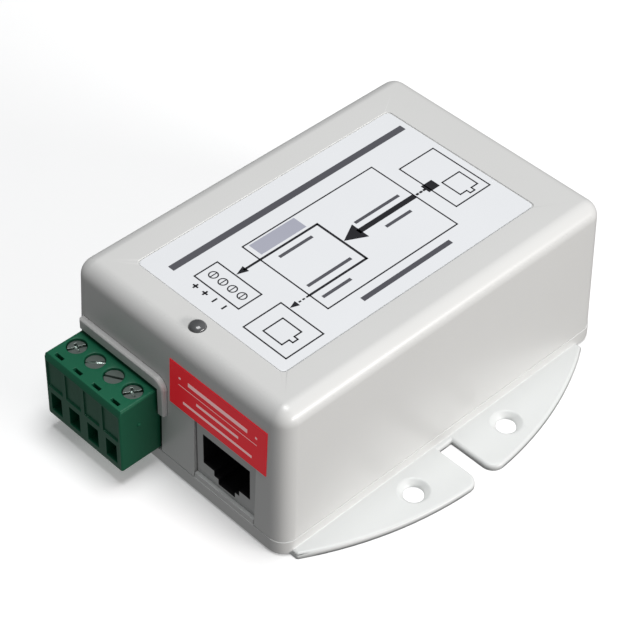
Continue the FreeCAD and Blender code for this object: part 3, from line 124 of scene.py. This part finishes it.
def plastic(name, tone, deep, smooth, rough, grain=5000.0, relief=0.02, drift=30.0, coat=0.0):
    """A moulded plastic: the shared skin group feeds colour, roughness and bump of its own shader."""
    made = bpy.data.materials.new(name)
    made.use_nodes = True
    nodes, wire = made.node_tree.nodes, made.node_tree.links.new
    shader = nodes["Principled BSDF"]
    skin = nodes.new("ShaderNodeGroup")
    skin.node_tree = SKIN
    skin.inputs["Tone"].default_value = (*tone, 1)
    skin.inputs["Deep Tone"].default_value = (*deep, 1)
    skin.inputs["Drift Scale"].default_value = drift
    skin.inputs["Grain Scale"].default_value = grain
    skin.inputs["Smooth"].default_value = smooth
    skin.inputs["Rough"].default_value = rough
    bump = nodes.new("ShaderNodeBump")
    bump.inputs["Distance"].default_value = relief * MM
    bump.inputs["Strength"].default_value = 1.0
    wire(skin.outputs["Height"], bump.inputs["Height"])
    wire(skin.outputs["Color"], shader.inputs["Base Color"])
    wire(skin.outputs["Roughness"], shader.inputs["Roughness"])
    wire(bump.outputs["Normal"], shader.inputs["Normal"])
    shader.inputs["Coat Weight"].default_value = coat
    return made


def piece_from(mesh, name, material):
    """A mesh as an object of the scene, all in one material."""
    item = bpy.data.objects.new(name, mesh)
    scene.collection.objects.link(item)
    mesh.materials.clear()
    mesh.materials.append(material)
    return item


def finished(node, name, material, edge=0.12, broad=None, broad_edge=0.3, plain=None):
    """The node's own form as one closed skin, with its sharp edges broken by so many mm.

    The edges for which broad says yes are broken more, and those for which plain does stay sharp.
    """
    bm = bmesh.new()
    bm.from_mesh(frame["nodes"][node].data)
    bmesh.ops.remove_doubles(bm, verts=bm.verts, dist=0.001 * MM)
    weight = bm.edges.layers.float.new("bevel_weight_edge")
    for line in bm.edges:
        first, last = (corner.co / MM for corner in line.verts)
        if edge and line.calc_face_angle(0) > SHARP and not (plain and plain(first, last)):
            line[weight] = 1.0 if broad and broad(first, last) else edge / broad_edge
    mesh = bpy.data.meshes.new(name)
    bm.to_mesh(mesh)
    bm.free()
    mesh.shade_smooth()
    item = piece_from(mesh, name, material)
    if edge:
        soften(item, broad_edge, "WEIGHT")
    else:
        mesh.set_sharp_from_angle(angle=SHARP)
    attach(item, frame["nodes"][node]["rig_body"])
    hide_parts(node)
    return item


def soften(item, width, limit="ANGLE"):
    """Rounds a piece's edges over a width in mm and keeps its flats flat."""
    bevel = item.modifiers.new("broken edges", "BEVEL")
    bevel.width = width * MM
    bevel.segments = 2
    bevel.limit_method = limit
    bevel.angle_limit = SHARP
    bevel.use_clamp_overlap = limit == "ANGLE"
    bevel.loop_slide = False
    flat = item.modifiers.new("flat faces", "WEIGHTED_NORMAL")
    flat.weight = 80


base_plastic = plastic("pale_abs_base", (0.725, 0.74, 0.735), (0.715, 0.73, 0.725), 0.34, 0.40,
                       relief=0.008)
wing_level, wing_start, sole_level = 1.4, 25.0, 0.02
base_piece = finished("base", "base_moulding", base_plastic, edge=0.10, broad_edge=0.22,
                      broad=lambda a, b: max(a.z, b.z) < wing_level and max(abs(a.x), abs(b.x)) > wing_start,
                      plain=lambda a, b: max(a.z, b.z) < sole_level)

# ---- Cover: the upper shell of the case, with the raised hood over the terminal in one piece.
# The same ABS in a slightly greyer tone, moulded with drafted walls and large soft edges; it sits
# on the base's lip, and its four inner posts take the case screws.

cover_plastic = plastic("pale_abs_cover", (0.71, 0.71, 0.70), (0.695, 0.695, 0.685), 0.285, 0.32,
                        relief=0.008)
finished("cover", "cover_moulding", cover_plastic, edge=0.09)

# The base's upright walls take the cover's slightly darker tone, and its wings and underside keep their own:
# painted shade on the walls above the bright wings.
base_piece.data.materials.append(cover_plastic)
lip_level, wing_top = 3.3 * MM, 1.35 * MM
base_half = 1.001 * max(corner.co.x for corner in base_piece.data.vertices if corner.co.z > lip_level)
for face in base_piece.data.polygons:
    is_level = abs(face.normal.z) >= 0.9
    if not is_level and abs(face.center.x) < base_half and face.center.z > wing_top:
        face.material_index = 1


def marked(name, strokes, ink, matrix, sunk=0.002, proud=0.010):
    """Marks on a surface: each stroke is a closed outline in mm on it, sunk and proud by a hair."""
    bm = bmesh.new()
    for outline in strokes:
        lower = [bm.verts.new((u * MM, v * MM, -sunk * MM)) for u, v in outline]
        upper = [bm.verts.new((u * MM, v * MM, proud * MM)) for u, v in outline]
        bm.faces.new(upper)
        bm.faces.new(lower[::-1])
        for n in range(len(outline)):
            after = (n + 1) % len(outline)
            bm.faces.new((lower[n], lower[after], upper[after], upper[n]))
    bmesh.ops.recalc_face_normals(bm, faces=bm.faces)
    mesh = bpy.data.meshes.new(name)
    bm.to_mesh(mesh)
    bm.free()
    mesh.transform(matrix)
    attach(piece_from(mesh, name, ink), "housing")


def stroke(u0, v0, u1, v1, width):
    """The outline of a straight stroke with square ends, from one point to another."""
    run = Vector((u1 - u0, v1 - v0)).normalized() * width / 2
    side = Vector((-run.y, run.x))
    return [(u0 - run.x - side.x, v0 - run.y - side.y), (u1 + run.x - side.x, v1 + run.y - side.y),
            (u1 + run.x + side.x, v1 + run.y + side.y), (u0 - run.x + side.x, v0 - run.y + side.y)]


# A near-black strip along the hood's outer outline on the front wall: painted shade in the crease where the
# hood meets the wall.
painted_crease_shade = plastic("painted_crease_shadow", (0.05, 0.05, 0.05), (0.06, 0.06, 0.06), 0.6, 0.7, relief=0.0)
front_wall_y = -41.5
front_lean = Matrix.Rotation(math.pi / 2 - math.radians(1.8), 4, "X")
hood_left, hood_right, hood_top, hood_foot, hood_round = -24.3, -1.99, 21.85, 13.6, 2.4
shade_line_gap, shade_line_width, shade_line_steps = 0.07, 0.17, 8
shade_line = [(hood_left, hood_top + shade_line_gap)]
for step in range(shade_line_steps + 1):
    turn = math.pi / 2 * (1 - step / shade_line_steps)
    shade_line.append((hood_right - hood_round + (hood_round + shade_line_gap) * math.cos(turn),
                 hood_top - hood_round + (hood_round + shade_line_gap) * math.sin(turn)))
shade_line.append((hood_right + shade_line_gap, hood_foot))
marked("hood_painted_shade_line", [stroke(*first, *last, shade_line_width) for first, last in zip(shade_line, shade_line[1:])], painted_crease_shade,
       Matrix.Translation((0, front_wall_y * MM, 0)) @ front_lean)

# ---- Case screws: four self-tapping screws of zinc-plated steel, with a low round head and a cross slot.
# They are driven from below through the base into the cover's posts.


def metal(name, tone, rough, scratch=0.08):
    """Bare or plated metal with fine handling marks in its roughness."""
    made = bpy.data.materials.new(name)
    made.use_nodes = True
    nodes, wire = made.node_tree.nodes, made.node_tree.links.new
    shader = nodes["Principled BSDF"]
    shader.inputs["Metallic"].default_value = 1.0
    place = nodes.new("ShaderNodeTexCoord")
    marks = nodes.new("ShaderNodeTexNoise")
    marks.inputs["Scale"].default_value = 1800
    marks.inputs["Detail"].default_value = 4
    wire(place.outputs["Object"], marks.inputs["Vector"])
    rough_range = nodes.new("ShaderNodeMapRange")
    rough_range.inputs["To Min"].default_value = rough - scratch
    rough_range.inputs["To Max"].default_value = rough + scratch
    wire(marks.outputs["Fac"], rough_range.inputs["Value"])
    wire(rough_range.outputs["Result"], shader.inputs["Roughness"])
    tint = nodes.new("ShaderNodeMix")
    tint.data_type = "RGBA"
    tint.inputs["A"].default_value = (*tone, 1)
    tint.inputs["B"].default_value = (*[value * 0.82 for value in tone], 1)
    wire(marks.outputs["Fac"], tint.inputs["Factor"])
    wire(tint.outputs["Result"], shader.inputs["Base Color"])
    return made


def screw_tree():
    """Node tree of a screw: a low round head with a slot and a shorter cross slot, and a plain shank."""
    tree = bpy.data.node_groups.new("driven_screw", "GeometryNodeTree")
    for name, start in (("Head Radius", 1.8), ("Head Height", 1.4), ("Shank Radius", 1.25),
                        ("Shank Length", 5.0), ("Slot Width", 0.6), ("Slot Reach", 4.0),
                        ("Cross Reach", 2.2), ("Slot Depth", 0.7), ("Turn", 0.0)):
        tree.interface.new_socket(name, in_out="INPUT", socket_type="NodeSocketFloat").default_value = start
    tree.interface.new_socket("Finish", in_out="INPUT", socket_type="NodeSocketMaterial")
    tree.interface.new_socket("Geometry", in_out="OUTPUT", socket_type="NodeSocketGeometry")
    nodes, wire = tree.nodes, tree.links.new
    given = nodes.new("NodeGroupInput")
    result = nodes.new("NodeGroupOutput")

    def sized(value, factor):
        scale = nodes.new("ShaderNodeMath")
        scale.operation = "MULTIPLY"
        wire(value, scale.inputs[0])
        scale.inputs[1].default_value = factor
        return scale.outputs[0]

    def placed(shape, way, amount):
        """The shape moved up or turned about the vertical."""
        upright = nodes.new("ShaderNodeCombineXYZ")
        wire(amount, upright.inputs["Z"])
        move = nodes.new("GeometryNodeTransform")
        wire(shape, move.inputs["Geometry"])
        wire(upright.outputs[0], move.inputs[way])
        return move.outputs["Geometry"]

    def round_bar(radius, height, up):
        bar = nodes.new("GeometryNodeMeshCylinder")
        bar.inputs["Vertices"].default_value = 40
        wire(sized(radius, MM), bar.inputs["Radius"])
        wire(sized(height, MM), bar.inputs["Depth"])
        return placed(bar.outputs["Mesh"], "Translation", up)

    def slot_cutter(across, along):
        cube = nodes.new("GeometryNodeMeshCube")
        size = nodes.new("ShaderNodeCombineXYZ")
        wire(sized(across, MM), size.inputs["X"])
        wire(sized(along, MM), size.inputs["Y"])
        wire(sized(given.outputs["Slot Depth"], 2 * MM), size.inputs["Z"])
        wire(size.outputs[0], cube.inputs["Size"])
        return placed(cube.outputs["Mesh"], "Rotation", given.outputs["Turn"])

    head = round_bar(given.outputs["Head Radius"], given.outputs["Head Height"],
                     sized(given.outputs["Head Height"], -MM / 2))
    down = nodes.new("ShaderNodeMath")
    down.operation = "ADD"
    start_in_head = 0.98
    wire(sized(given.outputs["Head Height"], -MM * start_in_head), down.inputs[0])
    wire(sized(given.outputs["Shank Length"], -MM / 2), down.inputs[1])
    shank = round_bar(given.outputs["Shank Radius"], given.outputs["Shank Length"], down.outputs[0])
    joined = nodes.new("GeometryNodeMeshBoolean")
    joined.operation = "UNION"
    joined.solver = "EXACT"
    wire(head, joined.inputs["Mesh 2"])
    wire(shank, joined.inputs["Mesh 2"])
    cut = nodes.new("GeometryNodeMeshBoolean")
    cut.operation = "DIFFERENCE"
    cut.solver = "EXACT"
    wire(joined.outputs["Mesh"], cut.inputs["Mesh 1"])
    wire(slot_cutter(given.outputs["Slot Reach"], given.outputs["Slot Width"]), cut.inputs["Mesh 2"])
    wire(slot_cutter(given.outputs["Slot Width"], given.outputs["Cross Reach"]), cut.inputs["Mesh 2"])
    whole = nodes.new("GeometryNodeRealizeInstances")
    wire(cut.outputs["Mesh"], whole.inputs["Geometry"])
    paint = nodes.new("GeometryNodeSetMaterial")
    wire(whole.outputs["Geometry"], paint.inputs["Geometry"])
    wire(given.outputs["Finish"], paint.inputs["Material"])
    wire(paint.outputs["Geometry"], result.inputs["Geometry"])
    return tree


SCREW = screw_tree()


def grown(name, tree, **values):
    """The plain mesh that a node tree grows with these inputs."""
    seed = bpy.data.objects.new(name, bpy.data.meshes.new(name))
    scene.collection.objects.link(seed)
    shaper = seed.modifiers.new(name, "NODES")
    shaper.node_group = tree
    sockets = {item.name: item.identifier for item in tree.interface.items_tree if item.in_out == "INPUT"}
    for title, value in values.items():
        shaper[sockets[title.replace("_", " ").title()]] = value
    ready = seed.evaluated_get(bpy.context.evaluated_depsgraph_get())
    mesh = bpy.data.meshes.new_from_object(ready)
    bpy.data.objects.remove(seed)
    mesh.name = name
    return mesh


plated_steel = metal("zinc_plated_steel", (0.62, 0.62, 0.60), 0.34)
screw_low, screw_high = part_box("case_screws")
case_head = 2.2
case_screw_mesh = bmesh.new()
for across in (screw_low.x + case_head * MM, screw_high.x - case_head * MM):
    for along in (screw_low.y + case_head * MM, screw_high.y - case_head * MM):
        stopped_at = 0.4 + 9 * across + 23 * along
        one = grown("case_screw", SCREW, head_radius=case_head, head_height=1.3, shank_radius=1.2,
                    shank_length=9.0, slot_width=0.5, slot_reach=2.6, cross_reach=2.6, slot_depth=0.8,
                    turn=stopped_at, finish=plated_steel)
        one.transform(Matrix.Translation((across, along, screw_low.z)) @ Matrix.Rotation(math.pi, 4, "X"))
        case_screw_mesh.from_mesh(one)
screws_below = bpy.data.meshes.new("case_screw_set")
case_screw_mesh.to_mesh(screws_below)
case_screw_mesh.free()
screws_below.shade_smooth()
case_screw_piece = piece_from(screws_below, "case_screw_set", plated_steel)
soften(case_screw_piece, 0.12)
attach(case_screw_piece, "housing")
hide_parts("case_screws")

# ---- Circuit board: a green solder-masked glass-epoxy sheet on the base's standoffs, notched
# round the four screw posts. Its components are soldered to it, and the closed case hides them.

solder_mask = plastic("green_solder_mask", (0.015, 0.12, 0.045), (0.02, 0.16, 0.06), 0.22, 0.34,
                      grain=900.0, relief=0.03, drift=220.0)
finished("circuit_board", "board_sheet", solder_mask, edge=0.0)

chip_epoxy = plastic("black_moulding_compound", (0.025, 0.025, 0.027), (0.04, 0.04, 0.042), 0.5, 0.66,
                     grain=7000.0, relief=0.03)
bobbin_resin = plastic("black_phenolic_bobbin", (0.03, 0.028, 0.026), (0.045, 0.04, 0.038), 0.4, 0.5)
core_ferrite = plastic("sintered_ferrite", (0.055, 0.055, 0.058), (0.075, 0.073, 0.07), 0.35, 0.6,
                       grain=3000.0, relief=0.02)
winding_tape = plastic("amber_polyester_tape", (0.62, 0.40, 0.06), (0.52, 0.31, 0.04), 0.14, 0.26,
                       grain=300.0, relief=0.08)
can_sleeve = plastic("dark_blue_sleeve", (0.02, 0.03, 0.09), (0.03, 0.04, 0.12), 0.2, 0.32)
fired_ceramic = plastic("fired_ceramic", (0.42, 0.28, 0.15), (0.36, 0.23, 0.12), 0.4, 0.55)
lamp_lens = plastic("milky_lamp_lens", (0.85, 0.85, 0.72), (0.80, 0.80, 0.66), 0.12, 0.2, relief=0.005)
for node, material, slot in (
        ("data_transformer", chip_epoxy, "chip_black"), ("power_controller", chip_epoxy, "chip_black"),
        ("bridge_rectifier_1", chip_epoxy, "chip_black"), ("bridge_rectifier_2", chip_epoxy, "chip_black"),
        ("switch_transistor", chip_epoxy, "chip_black"), ("output_rectifier", chip_epoxy, "chip_black"),
        ("optocoupler", chip_epoxy, "chip_black"), ("transformer_bobbin", bobbin_resin, "chip_black"),
        ("transformer_windings", winding_tape, "windings"), ("transformer_core", core_ferrite, "ferrite"),
        ("output_inductor", core_ferrite, "ferrite"), ("output_capacitors", can_sleeve, "can_sleeve"),
        ("input_capacitor", can_sleeve, "can_sleeve"), ("chip_capacitors", fired_ceramic, "ceramic"),
        ("indicator_lamp", lamp_lens, "lamp_body")):
    finished(node, f"{node}_part", material, edge=0.08)

# ---- Network jacks: one moulded block in each short face, soldered to the board, with a stepped
# port for the plug and its latch. The thermoplastic is grey; eight gilt springs lie in the port.

jack_plastic = plastic("grey_jack_plastic", (0.60, 0.605, 0.60), (0.57, 0.575, 0.57), 0.36, 0.5)
# Near-black for every face behind the jack's front rim: painted shade inside the port.
port_shade_paint = plastic("painted_port_shade", (0.006, 0.006, 0.008), (0.009, 0.009, 0.011), 0.4, 0.55)
gilt = metal("gilt_contact", (0.45, 0.30, 0.09), 0.3)
rim_depth = 0.05 * MM
for end in ("output", "input"):
    block = finished(f"{end}_jack", f"{end}_jack_block", jack_plastic, edge=0.1)
    block.data.materials.append(port_shade_paint)
    face_low, face_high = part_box(f"{end}_jack")
    mouth = max(abs(face_low.y), abs(face_high.y))
    for wall in block.data.polygons:
        wall.material_index = 0 if abs(wall.center.y) > mouth - rim_depth else 1
    finished(f"{end}_jack_contacts", f"{end}_jack_springs", gilt, edge=0.03)

# ---- Terminal header: a green shroud on the board with one tinned square pin for each pole.
# The plug's nose slides into it, so it only shows when the plug is pulled off.

terminal_green = plastic("terminal_green", (0.011, 0.128, 0.066), (0.009, 0.112, 0.057), 0.30, 0.42,
                         grain=3500.0, relief=0.015, drift=60.0)
terminal_green.node_tree.nodes["Principled BSDF"].inputs["Specular IOR Level"].default_value = 0.3
tinned = metal("tinned_copper", (0.74, 0.74, 0.72), 0.3)
finished("terminal_header", "header_shroud", terminal_green, edge=0.12)
finished("header_pins", "header_pin_row", tinned, edge=0.06)

# ---- Terminal plug: a green polyamide block, with a wire entry, a clamp, a test slot and a screw
# for each of its four poles. It is moulded in one piece and pushed onto the header by hand.

plug_front, plug_foot, plug_left, plug_right, long_edge = -50.0, 4.5, -24.4, -4.2, 8.0


def plug_outline(a, b):
    """The plug's long outer edges: below its front face, and those of its two sides."""
    below_front = max(a.y, b.y) < plug_front and max(a.z, b.z) < plug_foot
    at_side = min(a.x, b.x) > plug_right or max(a.x, b.x) < plug_left
    return (a - b).length > long_edge and (below_front or at_side)


finished("terminal_plug", "plug_block", terminal_green, edge=0.10, broad_edge=0.42,
         broad=plug_outline)
finished("plug_contacts", "plug_socket_row", tinned, edge=0.03)
# The pole screws' plated grey is darkened and tinted green: painted reflection of the green plug round their
# heads.
screw_steel = metal("plated_screw_painted_green_reflection", (0.34, 0.40, 0.37), 0.36)
crossed, single = 2.3, 0.5
for pole, turn, cross in ((1, 1.15, crossed), (2, 0.80, single), (3, 0.52, single), (4, 1.05, crossed)):
    low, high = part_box(f"terminal_screw_{pole}")
    one = grown(f"pole_screw_{pole}", SCREW, head_radius=1.8, head_height=2.2, shank_radius=1.25,
                shank_length=5.4, slot_width=0.5, slot_reach=4.4, cross_reach=cross, slot_depth=0.75,
                turn=turn, finish=screw_steel)
    one.transform(Matrix.Translation(((low.x + high.x) / 2, (low.y + high.y) / 2, high.z)))
    one.shade_smooth()
    piece = piece_from(one, f"pole_screw_{pole}", screw_steel)
    soften(piece, 0.06)
    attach(piece, f"screw_{pole}")
    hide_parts(f"terminal_screw_{pole}")
    finished(f"wire_clamp_{pole}", f"pole_clamp_{pole}", tinned, edge=0.05)


def turned(name, rings, steps, matrix, crease=35):
    """A closed lathe form from (radius, height) rings in mm, with both ends on the axis."""
    bm = bmesh.new()
    rows = []
    for radius, height in rings:
        if radius == 0:
            rows.append([bm.verts.new((0, 0, height * MM))] * steps)
        else:
            turns = [2 * math.pi * n / steps for n in range(steps)]
            rows.append([bm.verts.new((radius * MM * math.cos(turn), radius * MM * math.sin(turn), height * MM))
                         for turn in turns])
    for lower, upper in zip(rows, rows[1:]):
        for n in range(steps):
            corners = [lower[n], lower[(n + 1) % steps], upper[(n + 1) % steps], upper[n]]
            bm.faces.new(list(dict.fromkeys(corners)))
    bmesh.ops.recalc_face_normals(bm, faces=bm.faces)
    mesh = bpy.data.meshes.new(name)
    bm.to_mesh(mesh)
    bm.free()
    mesh.transform(matrix)
    mesh.shade_smooth()
    mesh.set_sharp_from_angle(angle=math.radians(crease))
    return mesh


# The stub that the mould's gate left on the plug's right side.
plug_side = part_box("terminal_plug")[1].x / MM
mark_sunk, mark_y, mark_z = 0.02, -45.9, 12.9
mark_rings = [(0, 0), (0.4, 0), (0.38, 0.12), (0.26, 0.24), (0, 0.28)]
mark_place = Matrix.Translation(Vector((plug_side - mark_sunk, mark_y, mark_z)) * MM)
mark_mesh = turned("gate_mark", mark_rings, 32, mark_place @ Matrix.Rotation(math.pi / 2, 4, "Y"))
mould_mark = piece_from(mark_mesh, "gate_mark", terminal_green)
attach(mould_mark, "plug")

# ---- Labels: a near-white polyester film in the roof's recess and a red one over the front jack.
# Both are cut to shape, pressed on and printed. The roof's shows how the ports and the terminal are
# joined, and its rows of print are plain bars; the red one has bars too, with a rule and two dots.

label_film = plastic("white_label_film", (0.86, 0.875, 0.90), (0.845, 0.86, 0.885), 0.28, 0.36,
                     grain=1500.0, relief=0.004, drift=40.0)
red_film = plastic("red_label_film", (0.86, 0.016, 0.032), (0.80, 0.013, 0.028), 0.34, 0.46,
                   grain=1500.0, relief=0.004, drift=60.0)
red_shader = red_film.node_tree.nodes["Principled BSDF"]
red_shader.inputs["Specular IOR Level"].default_value = 0.25
# The red film glows a little: painted light that keeps it bright in the shade on the front.
red_shader.inputs["Emission Color"].default_value = (1.0, 0.02, 0.035, 1)
red_shader.inputs["Emission Strength"].default_value = 0.19
finished("top_label", "roof_label", label_film, edge=0.03)
finished("red_label", "front_label", red_film, edge=0.03)


def frame_of(u0, v0, u1, v1, width):
    """The four strokes of a box."""
    corners = [(u0, v0), (u1, v0), (u1, v1), (u0, v1)]
    return [stroke(*corners[n], *corners[(n + 1) % 4], width) for n in range(4)]


def arrow(u, v, heading, length, half):
    """The outline of an arrow head with its tip at u, v."""
    tip = Vector((math.cos(heading), math.sin(heading)))
    side = Vector((-tip.y, tip.x)) * half
    back_end = Vector((u, v)) - tip * length
    return [(u, v), (back_end.x + side.x, back_end.y + side.y), (back_end.x - side.x, back_end.y - side.y)]


def ring(u, v, radius, width, steps=28):
    """A ring as short strokes, each a wedge between two circles."""
    turns = [2 * math.pi * n / steps for n in range(steps + 1)]
    near, far = radius - width / 2, radius + width / 2
    return [[(u + reach * math.cos(turn), v + reach * math.sin(turn))
             for reach, turn in ((near, a), (far, a), (far, b), (near, b))]
            for a, b in zip(turns, turns[1:])]


ink = plastic("black_label_ink", (0.012, 0.012, 0.016), (0.02, 0.02, 0.024), 0.3, 0.4, relief=0.0)
tint_ink = plastic("grey_tint_ink", (0.44, 0.45, 0.53), (0.41, 0.42, 0.50), 0.3, 0.4, relief=0.0)
film_low, film_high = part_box("top_label")
on_roof = Matrix.Translation((film_high.x, film_low.y, film_high.z)) @ Matrix.Rotation(math.pi / 2, 4, "Z")
forward, fine, bold = math.pi, 0.3, 0.5

# All in mm: u runs back from the label's front edge and v across from its right edge. First the frames
# of the unit, the terminal, the front port and the rear port.
marks = []
for box in ((16.3, 6.0, 48.8, 27.7), (5.0, 16.4, 10.4, 27.8), (2.6, 2.1, 11.4, 12.6), (52.2, 9.4, 61.2, 23.8)):
    marks += frame_of(*box, fine)

# The terminal's four screws, each with its slot and its plus or minus.
first_pole, pole_step, screw_u, sign_u, sign_half = 18.4, 2.45, 7.65, 3.45, 0.45
for pole in range(4):
    v = first_pole + pole_step * pole
    marks += ring(screw_u, v, 0.85, 0.25)
    marks += [stroke(screw_u - 0.65, v, screw_u + 0.65, v, 0.22),
              stroke(sign_u - sign_half, v, sign_u + sign_half, v, 0.36)]
    if pole > 1:
        marks.append(stroke(sign_u, v - sign_half, sign_u, v + sign_half, 0.36))

# The supply's line to the terminal, the network line to the front port, and the line in from the rear.
supply_v, front_v, rear_v, fork_u, unit_u = 23.1, 10.6, 16.6, 30.3, 16.3
marks += [stroke(12.6, supply_v, fork_u, supply_v, bold), arrow(10.6, supply_v, forward, 2.3, 0.85),
          stroke(fork_u, supply_v, fork_u, front_v, bold), stroke(fork_u, front_v, unit_u, front_v, bold),
          arrow(11.6, front_v, forward, 1.8, 0.7), stroke(34.8, rear_v, 48.2, rear_v, 1.2),
          arrow(30.6, rear_v, forward, 4.2, 2.2), stroke(52.6, rear_v, 53.2, rear_v, 2.2)]
dot_step = 0.9
for n in range(3):
    marks += [stroke(13.9 + dot_step * n, front_v, 14.1 + dot_step * n, front_v, 0.36),
              stroke(49.4 + dot_step * n, rear_v, 49.6 + dot_step * n, rear_v, 0.5)]

# A port's outline in the frame of each port, with the latch's notch.
port, latch_from, latch_to, latch_deep = 4.6, 1.7, 2.9, 0.9
for u, v in ((4.4, 5.0), (55.2, 11.2)):
    outline = [(u + latch_from, v), (u, v), (u, v + port), (u + port, v + port), (u + port, v),
               (u + latch_to, v)]
    notch = [(u + latch_from, v), (u + latch_from, v - latch_deep), (u + latch_to, v - latch_deep),
             (u + latch_to, v)]
    for line in (outline, notch):
        marks += [stroke(*first, *last, fine) for first, last in zip(line, line[1:])]
marked("roof_label_print", marks, ink, on_roof)
marked("roof_label_tint", [[(17.4, 23.9), (28.4, 23.9), (28.4, 27.2), (17.4, 27.2)]], tint_ink, on_roof)

# Rows of print as bars: start, place across, end and width.
block_ink = plastic("grey_block_ink", (0.10, 0.10, 0.115), (0.085, 0.085, 0.10), 0.3, 0.4, relief=0.0)
blocks = ((4.0, 32.0, 60.8, 1.5), (22.8, 3.6, 44.0, 1.1), (19.6, 21.3, 27.0, 0.7), (18.0, 12.5, 28.0, 0.7),
          (18.0, 8.7, 24.2, 0.7), (35.8, 18.7, 46.4, 0.7), (39.2, 14.2, 45.0, 0.7))
marked("roof_label_blocks", [stroke(start, v, end, v, width) for start, v, end, width in blocks],
       block_ink, on_roof)

pale_ink = plastic("pale_label_ink", (0.86, 0.50, 0.50), (0.82, 0.46, 0.46), 0.35, 0.45, relief=0.0)
pale_shader = pale_ink.node_tree.nodes["Principled BSDF"]
# The pale ink glows a little: painted light that brightens the bars in the shade on the front.
pale_shader.inputs["Emission Color"].default_value = (1.0, 0.6, 0.6, 1)
pale_shader.inputs["Emission Strength"].default_value = 0.25
red_low, red_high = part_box("red_label")
red_wide = (red_high.x - red_low.x) / MM

# Bars and rule: distance from both ends, height on the label and width; then the dots by the top bar.
rows = [stroke(inset, v, red_wide - inset, v, width)
        for inset, v, width in ((5.2, 7.3, 0.9), (2.4, 5.7, 0.14), (7.2, 4.1, 0.6), (3.8, 2.1, 0.6))]
rows += [stroke(u, 7.3, u + 0.05, 7.3, 0.45) for u in (2.6, red_wide - 2.6)]
marked("front_label_print", rows, pale_ink, Matrix.Translation(red_low) @ front_lean)

# ---- Light pipe: a smoked clear moulding pressed up through the roof, over the lamp on the board.
# Its domed end stands just proud of the roof, and a collar inside the case stops it.

smoked = plastic("smoked_clear_lens", (0.075, 0.077, 0.08), (0.10, 0.102, 0.105), 0.12, 0.22, grain=900.0,
                 relief=0.004, drift=500.0, coat=0.4)
pipe_low, pipe_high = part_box("light_pipe")
pipe_foot, pipe_top = pipe_low.z / MM, pipe_high.z / MM
pipe_radius, collar_radius, dome_rise, dome_steps = 1.55, 2.4, 0.75, 9
collar_under = pipe_top - 6.8
collar_top = collar_under + 1.0
pipe_rings = [(0, pipe_foot), (pipe_radius, pipe_foot), (pipe_radius, collar_under),
              (collar_radius, collar_under), (collar_radius, collar_top), (pipe_radius, collar_top)]
for angle in (math.pi / 2 * n / dome_steps for n in range(dome_steps)):
    pipe_rings.append((pipe_radius * math.cos(angle), pipe_top - dome_rise + dome_rise * math.sin(angle)))
pipe_rings.append((0, pipe_top))
pipe_axis = Matrix.Translation(((pipe_low.x + pipe_high.x) / 2, (pipe_low.y + pipe_high.y) / 2, 0))
pipe_mesh = turned("light_pipe_moulding", pipe_rings, 40, pipe_axis)
light_pipe = piece_from(pipe_mesh, "light_pipe_moulding", smoked)
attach(light_pipe, "housing")
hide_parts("light_pipe")

# ---- Studio: a pale seamless floor, a cool soft box overhead, a warm one low on the right, weak
# room light, and a camera with the photograph's view. One lamp stands in for the floor's glow.

floor_paint = plastic("pale_studio_floor", (0.97, 0.97, 0.97), (0.96, 0.96, 0.96), 0.7, 0.8, grain=200.0,
                      relief=0.0, drift=1.0)
floor_shader = floor_paint.node_tree.nodes["Principled BSDF"]
floor_shader.inputs["Emission Color"].default_value = (1.0, 1.0, 1.0, 1)
floor_shader.inputs["Emission Strength"].default_value = 0.2
floor_mesh = bpy.data.meshes.new("studio_floor")
floor_half = 4.0
floor_mesh.from_pydata([(-floor_half, -floor_half, 0), (floor_half, -floor_half, 0),
                        (floor_half, floor_half, 0), (-floor_half, floor_half, 0)], [], [(0, 1, 2, 3)])
floor = piece_from(floor_mesh, "studio_floor", floor_paint)
floor.visible_diffuse = False
floor.visible_glossy = False
floor.visible_shadow = False

scene.world = bpy.data.worlds.new("studio_air")
scene.world.use_nodes = True
air = scene.world.node_tree.nodes["Background"]
air.inputs["Color"].default_value = (0.98, 0.99, 1.0, 1)
air.inputs["Strength"].default_value = 0.15


def soft_light(name, place, target, size, power, tint):
    """An oval area lamp at a place in metres, facing its target."""
    lamp = bpy.data.lights.new(name, "AREA")
    lamp.shape = "ELLIPSE"
    lamp.size, lamp.size_y = size
    lamp.energy = power
    lamp.color = tint
    item = bpy.data.objects.new(name, lamp)
    item.location = place
    item.rotation_euler = (Vector(target) - Vector(place)).to_track_quat("-Z", "Y").to_euler()
    scene.collection.objects.link(item)


soft_light("overhead_light", (0.05, 0.06, 1.0), (0, 0, 0.02), (0.5, 0.5), 6.65, (0.99, 0.995, 1.0))
soft_light("right_light", (1.0, 0.26, 0.30), (0, 0, 0.02), (0.8, 0.12), 8.6, (1.0, 0.98, 0.96))
soft_light("front_glow", (-0.12, -0.46, -0.40), (0, -0.04, 0.01), (0.5, 0.5), 0.245, (1.0, 1.0, 1.0))

scene.view_settings.view_transform = "Standard"
scene.view_settings.look = "None"

# The camera stands where the one that took the photograph stood, as fitted to the photograph's points.
camera_yaw, camera_pitch, camera_roll = (math.radians(angle) for angle in (44.58, 43.77, 1.72))
camera_place = Vector((0.1950, -0.2034, 0.2810))
back = Vector((math.sin(camera_yaw) * math.cos(camera_pitch),
               -math.cos(camera_yaw) * math.cos(camera_pitch), math.sin(camera_pitch)))
level = Vector((-back.y, back.x, 0)).normalized()
upright = back.cross(level)
across = level * math.cos(camera_roll) + upright * math.sin(camera_roll)
upward = upright * math.cos(camera_roll) - level * math.sin(camera_roll)
view = bpy.data.cameras.new("studio_camera")
view.sensor_fit = "HORIZONTAL"
view.sensor_width = 36.0
view.lens = 117.84
view.clip_start = 0.01
camera = bpy.data.objects.new("studio_camera", view)
camera_axes = Matrix((across, upward, back)).transposed().to_4x4()
camera.matrix_world = Matrix.Translation(camera_place) @ camera_axes
scene.collection.objects.link(camera)
scene.camera = camera
